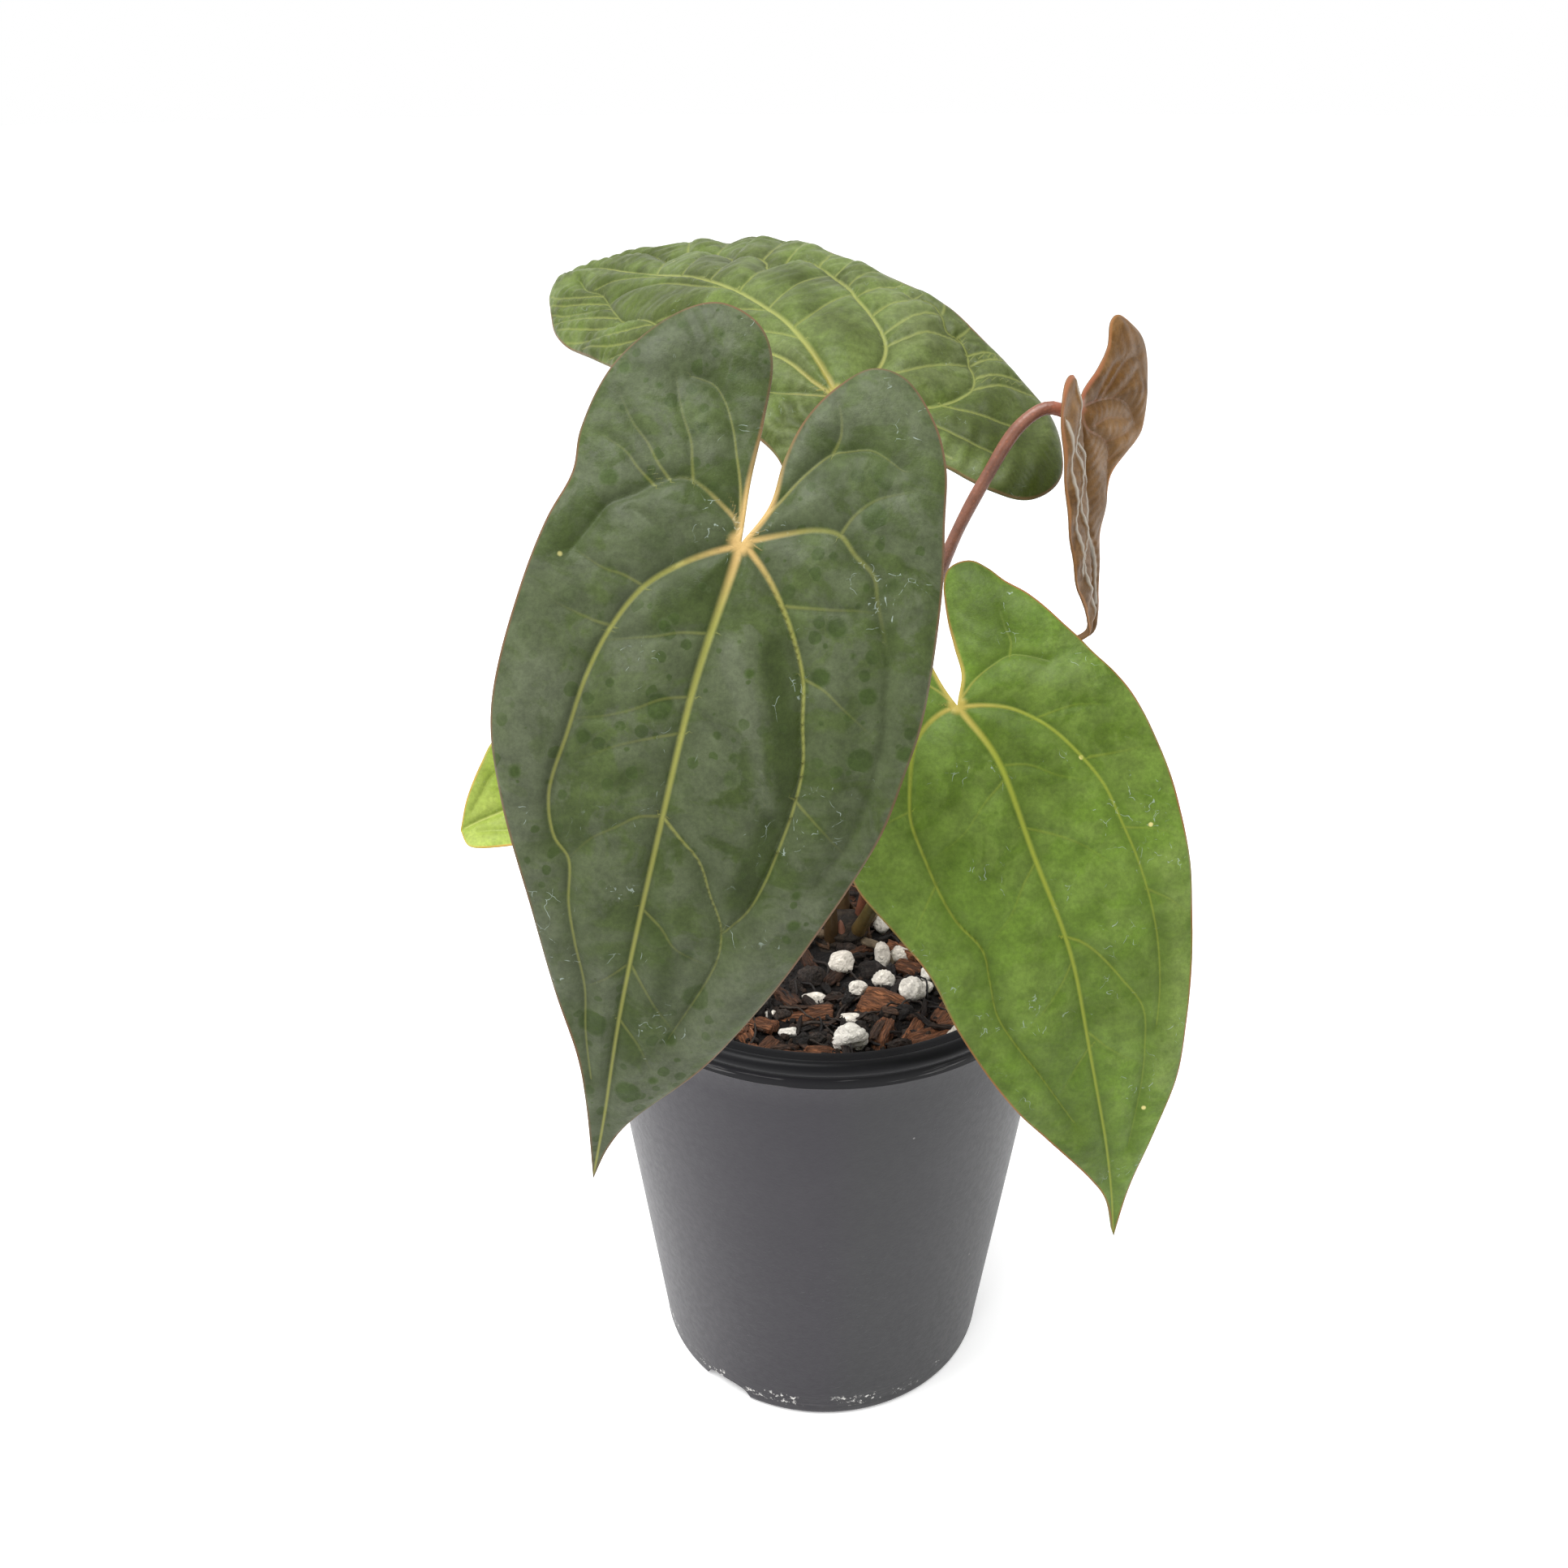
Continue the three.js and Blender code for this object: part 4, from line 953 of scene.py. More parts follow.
def drop_marks(tree, where, size, chance, widest):
    """Round marks of many widths on a flat place in mm: a disc and its thin ring, in some cells."""
    inputs = {"Vector": where, "Scale": 1 / size, "Randomness": 0.9}
    drops = place(tree, "TexVoronoi", inputs, voronoi_dimensions="2D")
    spread = channel(tree, drops.outputs["Color"], 1)
    inputs = {0: sums(tree, "POWER", spread, 1.6), 3: 0.07, 4: widest}
    radius = place(tree, "MapRange", inputs).outputs[0]
    room = sums(tree, "SUBTRACT", radius, drops.outputs["Distance"])
    there = fade(tree, channel(tree, drops.outputs["Color"], 0), 1 - chance, 1 - chance + 0.02)
    disc = times(tree, fade(tree, room, -0.01, 0.05), there)
    ring = sums(tree, "SUBTRACT", disc, times(tree, fade(tree, room, 0.03, 0.08), there))
    return disc, ring


# %% [markdown]
# The group puts the patterns together, a layer at a time. Round marks are drawn on the flat leaf, in mm,
# so that they lie in its surface. Clouds are drawn in space, because they need no direction. The first
# layers are the green itself, its dull patches and the strokes, which are partly the leaf's own tone and
# partly painted highlight and painted shade.

# %% Green, bloom and strokes
SKIN = {
    "Green": (0.10, 0.14, 0.05), "Deep": (0.06, 0.09, 0.03), "Bloom": (0.14, 0.13, 0.10),
    "Vein": (0.40, 0.38, 0.12), "Warm": (0.62, 0.30, 0.12), "Rim": (0.35, 0.12, 0.05),
    "Under": (0.16, 0.22, 0.08), "PaintedSheen": (0.40, 0.36, 0.32), "Patches": 0.5, "Spots": 0.5,
    "Scratches": 0.4, "Specks": 0.3, "Veining": 1.0, "ValleyShade": 0.3, "Reach": 30.0,
}
leaf_skin, given, out = new_group("leaf skin", SKIN, LOOKS)
tree = leaf_skin
where = object_place(tree)
flat = place(tree, "UVMap", uv_map="flat").outputs[0]
flat_mm = wobbled(tree, stretched(tree, flat, (*FLAT_SPAN, 1)), 0.35, 1.1)

cloud = noise(tree, where, 26, 5, 0.6, 0.4)
colour = mix(tree, fade(tree, cloud, 0.41, 0.59), given["Deep"], given["Green"])
streaks = fade(tree, noise(tree, stretched(tree, flat, (0.28, 0.075, 1)), 90, 5, 0.6, 0.6), 0.46, 0.58)
blotch = fade(tree, noise(tree, shift(tree, where, (0.31, 0.2, 0.1)), 75, 7, 0.62, 0.8), 0.47, 0.58)
dull_patches_and_painted_light = times(tree, larger(tree, times(tree, streaks, 0.85), blotch), given["Patches"])
# The strokes: above 0 the colour turns towards the pale bloom, below 0 towards a deeper green. Partly
# the leaf's own tone, partly painted highlight and painted shade.
tint_and_painted_light = attribute(tree, "tint_and_painted_light")
inputs = {0: dull_patches_and_painted_light, 1: fade(tree, tint_and_painted_light, 0.0, 1.0)}
dull_patches_and_painted_light = place(tree, "Math", inputs, operation="ADD", use_clamp=True).outputs[0]
colour = mix(tree, dull_patches_and_painted_light, colour, given["Bloom"])
deep_and_painted_shade = tinted(tree, given["Deep"], (0.85, 0.85, 0.85))
colour = mix(tree, fade(tree, tint_and_painted_light, 0.0, -1.0), colour, deep_and_painted_shade)
print("nodes for the green:", len(tree.nodes))

# %% Round marks
often = fade(tree, noise(tree, shift(tree, where, (0.2, 0.6, 0.4)), 30, 2), 0.40, 0.55, 0.25, 1.0)
big_disc, big_ring = drop_marks(tree, flat_mm, 11.0, 0.65, 0.33)
small_disc, small_ring = drop_marks(tree, shift(tree, flat_mm, (31.0, 17.0, 0.0)), 4.2, 0.5, 0.42)
discs = times(tree, larger(tree, big_disc, times(tree, small_disc, 0.8)), often, given["Spots"])
rings = times(tree, larger(tree, big_ring, times(tree, small_ring, 0.6)), often, given["Spots"])
colour = mix(tree, discs, colour, tinted(tree, given["Deep"], (0.92, 1.0, 0.9)))
colour = mix(tree, times(tree, rings, 0.3), colour, tinted(tree, given["Bloom"], (1.2, 1.2, 1.15)))
print("nodes with the marks:", len(tree.nodes))

# %% Mottle, scratches and specks
mottle = times(tree, fade(tree, noise(tree, where, 150, 5, 0.62), 0.33, 0.67, 0.84, 1.16),
               fade(tree, noise(tree, where, 950, 3, 0.65), 0.3, 0.7, 0.88, 1.12))
colour = tinted(tree, colour, grey(tree, mottle))
# Painted shade: the green is drawn deeper close to the big veins, where the blade dips into its grooves.
painted_valley_shade = fade(tree, attribute(tree, "near"), 0.8, 5.0, 1.0, 0.0)
colour = mix(tree, times(tree, painted_valley_shade, given["ValleyShade"]), colour, given["Deep"])

torn = cells(tree, wobbled(tree, where, 150, 0.012), 125, "DISTANCE_TO_EDGE").outputs["Distance"]
scratch = fade(tree, torn, 0.016, 0.003)
scarce = fade(tree, noise(tree, shift(tree, where, (0.5, 0.1, 0.9)), 60, 3), 0.55, 0.62)
broken = fade(tree, noise(tree, where, 520, 2), 0.49, 0.57)
scratch = times(tree, scratch, scarce, broken, given["Scratches"])
colour = mix(tree, scratch, colour, (0.30, 0.36, 0.33))

grains = cells(tree, shift(tree, where, (0.4, 0.4, 0.2)), 120)
picked = fade(tree, channel(tree, grains.outputs["Color"], 2), 0.91, 0.92)
speck = times(tree, fade(tree, grains.outputs["Distance"], 0.10, 0.05), picked)
colour = mix(tree, times(tree, speck, given["Specks"]), colour, (0.45, 0.40, 0.15))
print("nodes with scratches and specks:", len(tree.nodes))

# %% [markdown]
# The veins go over all that: yellow, and warmer near the sinus, where they meet in one spot. The rim is
# a thin line along the edge that comes and goes. Last, thin pale lines of painted sheen run along the
# young leaf's ridges.

# %% Veins and rim
lines = {group: line_mask(tree, group) for group in ("rib", "main", "side", "pale")}
vein = larger(tree, lines["rib"], lines["main"], lines["side"])
root = attribute(tree, "root")
vein = larger(tree, times(tree, vein, given["Veining"]), fade(tree, root, 3.6, 1.4))
warmth = fade(tree, sums(tree, "DIVIDE", root, given["Reach"]), 1.0, 0.0)
colour = mix(tree, vein, colour, mix(tree, warmth, given["Vein"], given["Warm"]))

near_sinus = fade(tree, root, 32.0, 6.0)
rim_colour = mix(tree, near_sinus, given["Rim"], given["Warm"])
rim_width = place(tree, "MapRange", {0: near_sinus, 3: 0.75, 4: 1.6}).outputs[0]
rim_share = larger(tree, fade(tree, noise(tree, where, 40, 2), 0.35, 0.6, 0.4, 0.95), near_sinus)
rim_here = fade(tree, sums(tree, "DIVIDE", attribute(tree, "edge"), rim_width), 1.0, 0.25)
colour = mix(tree, times(tree, rim_here, rim_share), colour, rim_colour)
# Painted sheen: thin pale lines along the young leaf's ridges, where its hairs catch the light.
colour = mix(tree, lines["pale"], colour, given["PaintedSheen"])
print("nodes with veins and rim:", len(tree.nodes))

# %% Underside, roughness and height
under = mix(tree, fade(tree, cloud, 0.3, 0.7, 0.0, 0.35), given["Under"], given["Green"])
under = mix(tree, times(tree, vein, 0.8), under, given["Vein"])
join(tree, out["Color"], mix(tree, attribute(tree, "upper"), under, colour))
rough = fade(tree, noise(tree, where, 160, 3), 0.3, 0.7, 0.42, 0.58)
join(tree, out["Roughness"], sums(tree, "SUBTRACT", rough, times(tree, vein, 0.1)))
height = times(tree, noise(tree, where, 2400, 2, 0.6), 0.4)
height = sums(tree, "ADD", height, times(tree, noise(tree, where, 620, 3, 0.55), 0.9))
join(tree, out["Height"], sums(tree, "ADD", height, times(tree, vein, 2.0)))
print("leaf skin nodes:", len(tree.nodes))

# %% Leaf colours
LEAF_LOOKS = {
    "front": dict(Green=(0.045, 0.063, 0.019), Deep=(0.030, 0.044, 0.011), Bloom=(0.058, 0.069, 0.039),
                  Vein=(0.230, 0.232, 0.056), Warm=(0.370, 0.250, 0.095), Rim=(0.105, 0.055, 0.026),
                  Under=(0.075, 0.100, 0.046), Patches=0.7, Spots=1.0, Scratches=0.5, Specks=0.5,
                  ValleyShade=0.3, Reach=20.0),
    "right": dict(Green=(0.080, 0.134, 0.016), Deep=(0.051, 0.086, 0.008), Bloom=(0.112, 0.158, 0.036),
                  Vein=(0.205, 0.235, 0.028), Warm=(0.300, 0.240, 0.055), Rim=(0.190, 0.070, 0.022),
                  Under=(0.110, 0.160, 0.040), Patches=0.35, Spots=0.4, Scratches=0.5, Specks=1.0,
                  ValleyShade=0.35, Reach=20.0),
    "top": dict(Green=(0.069, 0.098, 0.020), Deep=(0.036, 0.050, 0.008), Bloom=(0.112, 0.134, 0.056),
                Vein=(0.200, 0.215, 0.060), Warm=(0.200, 0.170, 0.036), Rim=(0.130, 0.070, 0.035),
                Under=(0.085, 0.115, 0.040), Patches=0.25, Spots=0.3, Scratches=0.2, Specks=0.5,
                ValleyShade=0.1),
    "new": dict(Green=(0.124, 0.058, 0.012), Deep=(0.072, 0.032, 0.006), Bloom=(0.145, 0.082, 0.034),
                Vein=(0.210, 0.090, 0.040), Warm=(0.210, 0.075, 0.036), Rim=(0.230, 0.105, 0.036),
                Under=(0.130, 0.074, 0.036), PaintedSheen=(0.270, 0.245, 0.205), Patches=0.5, Spots=0.0,
                Scratches=0.0, Specks=0.0, Veining=0.8, ValleyShade=0.3),
    "small": dict(Green=(0.215, 0.275, 0.048), Deep=(0.160, 0.220, 0.028), Bloom=(0.230, 0.265, 0.070),
                  Vein=(0.310, 0.340, 0.090), Warm=(0.310, 0.300, 0.070), Rim=(0.400, 0.220, 0.050),
                  Under=(0.220, 0.270, 0.085), Patches=0.4, Spots=0.1, Scratches=0.3, Specks=0.4,
                  Veining=0.7, ValleyShade=0.3),
}
SHEEN = {"front": 0.05, "right": 0.03, "top": 0.12, "new": 0.06, "small": 0.03}
for name, values in LEAF_LOOKS.items():
    skin = new_finish(f"velvet {name} leaf", leaf_skin, values, 0.12, Specular_IOR_Level=0.13,
                      Sheen_Weight=SHEEN[name], Sheen_Roughness=0.35, Sheen_Tint=(1.0, 0.98, 0.93))
    leaves[name].data.materials.append(skin)
print("leaf materials:", len(LEAF_LOOKS))

# %% [markdown]
# ## Stalks
# A stalk is round, thickest at the foot where it sheathes the stem, and swollen again just under
# the blade, at the joint that turns the leaf to the light. It is a circle carried along a smooth
# route. Each circle stands square to the route, with one fixed direction kept flat, so the tube
# does not twist. Where it meets the blade, points that would come through are pressed back under
# the leaf.

# %% Stalk shapes
STALKS = {
    "front": ([[3, 10.5, 162], [0, -2, 215], [-5, -30, 276], [-13, -70, 323], [-19.5, -108, 346]],
              (2.9, 2.2, 2.8), (1, 0, 0)),
    "right": ([[11, 12.5, 162], [17.8, 0.5, 185], [26, -22, 224], [31, -50, 269]],
              (2.9, 2.4, 2.7), (1, 0, 0)),
    "top": ([[7, 22, 162], [9, 31, 225], [9, 34, 290], [4, 26, 340]], (2.8, 2.2, 2.7), (1, 0, 0)),
    "new": ([[13, 19, 162], [20, 12, 215], [26, -2, 265], [34.5, -16, 316], [44.8, -20, 342],
             [53.5, -19.5, 356.5], [61, -18.5, 361]], (2.4, 1.9, 1.9), (0, 1, 0)),
    "small": ([[2, 17, 162], [-14, 14, 190], [-48, 12, 214], [-78, 13.5, 224], [-88.5, 11.5, 225.5]],
              (1.9, 1.3, 1.6), (0, 1, 0)),
}
STALK_SEAT = 2.6
STALK_SIDES = 28
SHEATH_LENGTH = 30
SEAT_GAP = 0.9


def tubes(paths, radii, sides, flat):
    """Circles round each point of several paths, square to them, and a pole at both ends of each:
    path + radius * (one cos a + two sin a)."""
    heading = unit(np.gradient(paths, axis=1))
    one = unit(np.cross(heading, np.asarray(flat, float)))
    two = np.cross(heading, one)
    angle = 2 * np.pi * np.arange(sides) / sides
    ring = one[:, :, None] * np.cos(angle)[:, None] + two[:, :, None] * np.sin(angle)[:, None]
    points = (paths[:, :, None] + ring * radii[..., None, None]).reshape(len(paths), -1, 3)
    return np.concatenate([points, paths[:, :1], paths[:, -1:]], 1)


def new_stalk(name, slot):
    """A stalk whose radius falls from foot to middle and swells at the joint under the blade."""
    route, (foot, middle, joint), flat = STALKS[name]
    seat, up = (rows[0] for rows in bend(LEAVES[name], np.array([STALK_SEAT]), np.array([0.0])))
    path = smooth_line([*route, list(seat - 0.3 * up)], 110)
    along = np.concatenate([[0], np.cumsum(np.linalg.norm(np.diff(path, axis=0), axis=1))])
    sheath = np.maximum(0, 1 - along / SHEATH_LENGTH)
    swelling = np.exp(-((along[-1] - along - 4) / 5.5) ** 2)
    radii = middle + (foot - middle) * sheath**1.5 + (joint - middle) * swelling
    radii = radii + 0.05 * np.sin(along / 3.1) * (1 - swelling)
    points = tubes(path[None], radii[None], STALK_SIDES, flat)[0]
    over = (points - seat) @ up + SEAT_GAP
    close = np.linalg.norm(points - seat, axis=1) < 8
    points = points - up * (np.maximum(over, 0) * close)[:, None]
    floats = {key: np.concatenate([np.repeat(values, STALK_SIDES), [0, 1]])
              for key, values in (("share", along / along[-1]), ("joint", swelling))}
    turn = np.tile(np.arange(STALK_SIDES) / STALK_SIDES, len(path))
    uv = np.stack([np.concatenate([turn, [0, 0]]), floats["share"]], -1)
    return new_piece(f"stalk_{name}", points, *ring_faces(len(path), STALK_SIDES), slot,
                     (f"petiole_{name}",), floats, uv)


stalks = {name: new_stalk(name, "red_stalk" if name == "new" else "green_stalk") for name in STALKS}

# %% [markdown]
# ## Stalk skin
# Young stalks are wine red, and older ones olive with a brown foot. All have fine pale dots and a
# slightly cloudy colour. It goes from foot to joint by the share of the length that each point
# carries.

# %% Stalk skin
STALK_SKIN = {"Foot": (0.12, 0.07, 0.03), "Middle": (0.14, 0.13, 0.05), "Joint": (0.2, 0.15, 0.05),
              "Dots": 0.4}
stalk_skin, given, out = new_group("stalk skin", STALK_SKIN, LOOKS)
tree = stalk_skin
where = object_place(tree)
share = attribute(tree, "share")
colour = mix(tree, fade(tree, share, 0.0, 0.3), given["Foot"], given["Middle"])
colour = mix(tree, attribute(tree, "joint"), colour, given["Joint"])
cloud = fade(tree, noise(tree, where, 160, 4, 0.6), 0.3, 0.7, 0.78, 1.2)
colour = tinted(tree, colour, grey(tree, cloud))
dots = cells(tree, where, 700)
dot = times(tree, fade(tree, dots.outputs["Distance"], 0.32, 0.15), given["Dots"])
colour = mix(tree, dot, colour, tinted(tree, colour, (1.7, 1.5, 1.3)))
join(tree, out["Color"], colour)
join(tree, out["Roughness"], fade(tree, noise(tree, where, 300, 2), 0.3, 0.7, 0.36, 0.5))
join(tree, out["Height"], sums(tree, "ADD", dots.outputs["Distance"], noise(tree, where, 1500, 2)))

STALK_LOOKS = {
    "front": ((0.060, 0.034, 0.014), (0.066, 0.068, 0.022), (0.130, 0.110, 0.033)),
    "right": ((0.090, 0.056, 0.018), (0.072, 0.070, 0.020), (0.130, 0.110, 0.033)),
    "top": ((0.060, 0.034, 0.014), (0.066, 0.068, 0.022), (0.140, 0.115, 0.033)),
    "new": ((0.140, 0.050, 0.028), (0.140, 0.056, 0.034), (0.220, 0.070, 0.038)),
    "small": ((0.066, 0.044, 0.017), (0.110, 0.125, 0.033), (0.140, 0.150, 0.044)),
}
for name, colours in STALK_LOOKS.items():
    skin = new_finish(f"{name} stalk skin", stalk_skin, dict(zip(STALK_SKIN, colours)), 0.06,
                      Specular_IOR_Level=0.4)
    stalks[name].data.materials.append(skin)
print("stalk materials:", len(STALK_LOOKS))

# %% [markdown]
# ## Pot
# A nursery pot is blown plastic: a tapered wall, a band above a fine step, a groove, and a rolled
# rim with a thin lip inside. A lathed profile gives all of it. The radius also gets a thin seam
# on two opposite sides, where the halves of the mould met, and a faint swell that winds round it.
# The drain notches are cut out with a boolean, because they have sharp edges that a grid would
# blur.

# %% Pot shape
POT_HEIGHT = 178
BASE_RADIUS = 62.4
STEP_Z = 168.8
STEP_RADIUS = 81.3
BAND_RADIUS = 81.9
GROOVE_Z = 173.2
GROOVE_RADIUS = 80.6
RIM_RADIUS = 82.5
BEAD_RADIUS = 2.6
LIP_INNER_RADIUS = 74.5
WALL = 1.3
FLOOR = 1.6
POT_SIDES = 320
SEAM_AZIMUTH = math.radians(-88.5)
SEAM_HALF = 0.45
OUTSIDE_ROWS = 30


def wall_radius(z):
    """Outer radius of the tapered wall at a height."""
    return BASE_RADIUS + (STEP_RADIUS - BASE_RADIUS) * z / STEP_Z


def pot_profile():
    """The closed section from the middle of the underside, up the outside, and down the inside."""
    rows = [[0, 0], [BASE_RADIUS - 8, 0], [BASE_RADIUS - 2, 0], [BASE_RADIUS - 1.1, 0.15],
            [BASE_RADIUS - 0.5, 0.6], [wall_radius(1.4) - 0.1, 1.4]]
    wall = (2.4, 4.2, 4.6, 5.0, 8.6, 9.0, 9.4, 20, 40, 60, 80, 100, 120, 140, 160)
    rows += [[wall_radius(z), z] for z in wall]
    rows += [[wall_radius(168.3), 168.3], [STEP_RADIUS + 0.05, STEP_Z], [BAND_RADIUS, STEP_Z + 0.35],
             [BAND_RADIUS, 170.6], [BAND_RADIUS - 0.02, 172.3], [BAND_RADIUS - 0.3, 172.8],
             [GROOVE_RADIUS + 0.9, GROOVE_Z], [GROOVE_RADIUS + 0.95, GROOVE_Z + 0.25]]
    angle = np.radians(np.arange(-40, 111, 10))
    bead = np.stack([RIM_RADIUS - BEAD_RADIUS + BEAD_RADIUS * np.cos(angle),
                     POT_HEIGHT - BEAD_RADIUS + BEAD_RADIUS * np.sin(angle)], -1)
    rows += bead.tolist()
    rows += [[78.2, 177.2], [76.4, 177.35], [75.2, 177.5], [LIP_INNER_RADIUS + 0.1, 177.3],
             [LIP_INNER_RADIUS, 176.9], [LIP_INNER_RADIUS + 0.3, 176.4], [76.5, 176.1], [78.4, 175.9],
             [GROOVE_RADIUS - WALL, GROOVE_Z - 0.6], [wall_radius(168) - WALL, 168]]
    rows += [[wall_radius(z) - WALL, z] for z in (150, 120, 90, 60, 30, 4)]
    rows += [[wall_radius(FLOOR) - WALL - 1.2, FLOOR], [40, FLOOR], [0, FLOOR]]
    return np.array(rows, float)


def lathe(profile, sides):
    """Radius, turn and height of a section's rows between its poles, with its faces."""
    body = profile[1:-1]
    angle = 2 * np.pi * np.arange(sides) / sides
    r, z = (np.repeat(body[:, k : k + 1], sides, 1) for k in (0, 1))
    return r, np.repeat(angle[None], len(body), 0), z, ring_faces(len(body), sides)


def turned(r, a, z, poles, middle=(0, 0)):
    """Points x = r cos a, y = r sin a, z = z round a middle, then the poles at their heights."""
    points = np.stack([middle[0] + r * np.cos(a), middle[1] + r * np.sin(a), z], -1)
    return np.vstack([points.reshape(-1, 3), [[*middle, height] for height in poles]])


profile = pot_profile()
r, a, z, faces = lathe(profile, POT_SIDES)
outside = np.arange(len(profile) - 2) < OUTSIDE_ROWS
seam = np.exp(-((np.angle(np.exp(1j * 2 * (a - SEAM_AZIMUTH))) / 2 * r / SEAM_HALF) ** 2))
on_wall = outside[:, None] & (z > 3) & (z < 168.5)
r = r + on_wall * (0.16 * seam + 0.05 * np.sin(3 * a + z / 40) - 0.05)
points = turned(r, a, z, (profile[0, 1], profile[-1, 1]))
pot = new_piece("nursery_pot", points, *faces, "pot_plastic", ("pot",))

# %% [markdown]
# The notch is an arch that opens the foot of the wall. A block with that outline stands across
# the wall at each of three places, and the boolean takes it away.

# %% Drain notches
NOTCH_COUNT = 3
NOTCH_FIRST_AZIMUTH = -126
ARCH = np.array([[-11, -2], [11, -2], [10.2, 1.5], [9, 3.6], [7, 5.2], [4, 5.9], [0, 6], [-4, 5.9],
                 [-7, 5.2], [-9, 3.6], [-10.2, 1.5]])


def notch_block(azimuth):
    """The arch swept outwards through the foot of the wall at an azimuth in degrees."""
    turn = math.radians(azimuth)
    out_way = np.array([math.cos(turn), math.sin(turn), 0])
    side_way = np.array([-math.sin(turn), math.cos(turn), 0])
    reach = np.array([BASE_RADIUS - 8, BASE_RADIUS + 10])
    ring = ARCH[:, :1] * side_way + ARCH[:, 1:] * np.array([0, 0, 1])
    return (ring[None] + reach[:, None, None] * out_way).reshape(-1, 3)


n = len(ARCH)
cutter_mesh = bpy.data.meshes.new("notch cutter")
rings = [notch_block(NOTCH_FIRST_AZIMUTH + 360 / NOTCH_COUNT * k) for k in range(NOTCH_COUNT)]
faces = []
for k in range(NOTCH_COUNT):
    low = 2 * n * k
    faces += [[low + j, low + (j + 1) % n, low + n + (j + 1) % n, low + n + j] for j in range(n)]
    faces += [[low + j for j in reversed(range(n))], [low + n + j for j in range(n)]]
cutter_mesh.from_pydata((np.vstack(rings) * MM).tolist(), [], faces)
cutter = bpy.data.objects.new("notch cutter", cutter_mesh)
bpy.context.scene.collection.objects.link(cutter)
cut = pot.modifiers.new("notches", "BOOLEAN")
cut.operation = "DIFFERENCE"
cut.solver = "EXACT"
cut.object = cutter
whole_faces = len(pot.data.polygons)
notched = bpy.data.meshes.new_from_object(pot.evaluated_get(bpy.context.evaluated_depsgraph_get()))
pot.modifiers.clear()
pot.data = notched
bpy.data.objects.remove(cutter)
notched.set_sharp_from_angle(angle=math.radians(38))
print("pot faces before and after the notches:", whole_faces, len(notched.polygons))

# %% [markdown]
# ## Pot plastic
# The plastic is near black, but it reads as mid grey because its slightly rough skin mirrors the
# white room, most of all along the two sides. Handling leaves fine scuffs, and hard water leaves
# white specks on the foot. The rim mirrors less of the room, so it looks darker.

# %% Wall, scuffs and streaks
PLASTIC = {"Body": (0.0082, 0.0068, 0.0104), "Body right": (0.0090, 0.0094, 0.0100),
           "Rim": (0.006, 0.006, 0.007), "Dust": (0.17, 0.165, 0.165), "Scuffs": 0.5, "Minerals": 1.0}
pot_skin, given, out = new_group("pot plastic", PLASTIC, LOOKS)
tree = pot_skin
where = object_place(tree)
parts = place(tree, "SeparateXYZ", {0: where}).outputs


def band_mask(tree, height, low, low_full, high_full, high):
    """1 between two full heights in metres, and 0 outside the low and the high one."""
    return times(tree, fade(tree, height, low, low_full), fade(tree, height, high, high_full))


rim = fade(tree, parts["Z"], 0.1723, 0.1729)
body = mix(tree, fade(tree, parts["X"], -0.004, 0.014), given["Body"], given["Body right"])
colour = mix(tree, rim, body, given["Rim"])
cloud = noise(tree, where, 34, 4, 0.6)
colour = mix(tree, fade(tree, cloud, 0.45, 0.75, 0.0, 0.012), colour, given["Dust"])
scuff = fade(tree, noise(tree, stretched(tree, where, (1.0, 1.0, 2.6)), 260, 5, 0.7, 1.2), 0.60, 0.72)
scuff = times(tree, scuff, fade(tree, noise(tree, where, 22, 2), 0.42, 0.6))
scuff_share = times(tree, scuff, times(tree, given["Scuffs"], 0.25))
colour = mix(tree, scuff_share, colour, (0.016, 0.0155, 0.018))
level = stretched(tree, where, (1.0, 1.0, 26.0))
band = band_mask(tree, parts["Z"], 0.1682, 0.1690, 0.1722, 0.1728)
streak = times(tree, fade(tree, noise(tree, level, 42, 3, 0.6), 0.58, 0.68), band)
colour = mix(tree, times(tree, band, 0.8), colour, given["Rim"])
colour = mix(tree, times(tree, streak, 0.35), colour, given["Dust"])
print("nodes for the wall:", len(tree.nodes))

# %% Lime on the foot, flecks and roughness
foot = band_mask(tree, parts["Z"], 0.004, 0.0062, 0.0085, 0.0115)
crust = fade(tree, noise(tree, where, 480, 4, 0.7), 0.57, 0.60)
patchy = fade(tree, noise(tree, shift(tree, where, (0.2, 0.4, 0.0)), 75, 2), 0.44, 0.53)
low_wall = fade(tree, parts["Z"], 0.016, 0.006)
foot_rings = times(tree, fade(tree, noise(tree, level, 60, 3, 0.6), 0.52, 0.62), low_wall)
colour = mix(tree, times(tree, foot_rings, 0.09), colour, given["Dust"])
crust = times(tree, crust, foot, patchy, given["Minerals"])
colour = mix(tree, crust, colour, (0.55, 0.54, 0.51))
stray = cells(tree, where, 75)
rare = fade(tree, channel(tree, stray.outputs["Color"], 0), 0.86, 0.88)
fleck = times(tree, fade(tree, stray.outputs["Distance"], 0.045, 0.02), rare)
colour = mix(tree, times(tree, fleck, 0.6), colour, (0.25, 0.245, 0.24))
join(tree, out["Color"], colour)
rough = fade(tree, noise(tree, where, 400, 3, 0.6), 0.3, 0.7, 0.41, 0.47)
join(tree, out["Roughness"], mix_numbers(tree, rim, rough, 0.36))
fine = noise(tree, where, 900, 3, 0.6)
join(tree, out["Height"], sums(tree, "ADD", fine, times(tree, scuff, 0.8)))
pot.data.materials.clear()
pot.data.materials.append(new_finish("grey pot wall", pot_skin, {}, 0.04, Specular_IOR_Level=0.33,
                                     Specular_Tint=(0.97, 0.95, 1.0)))
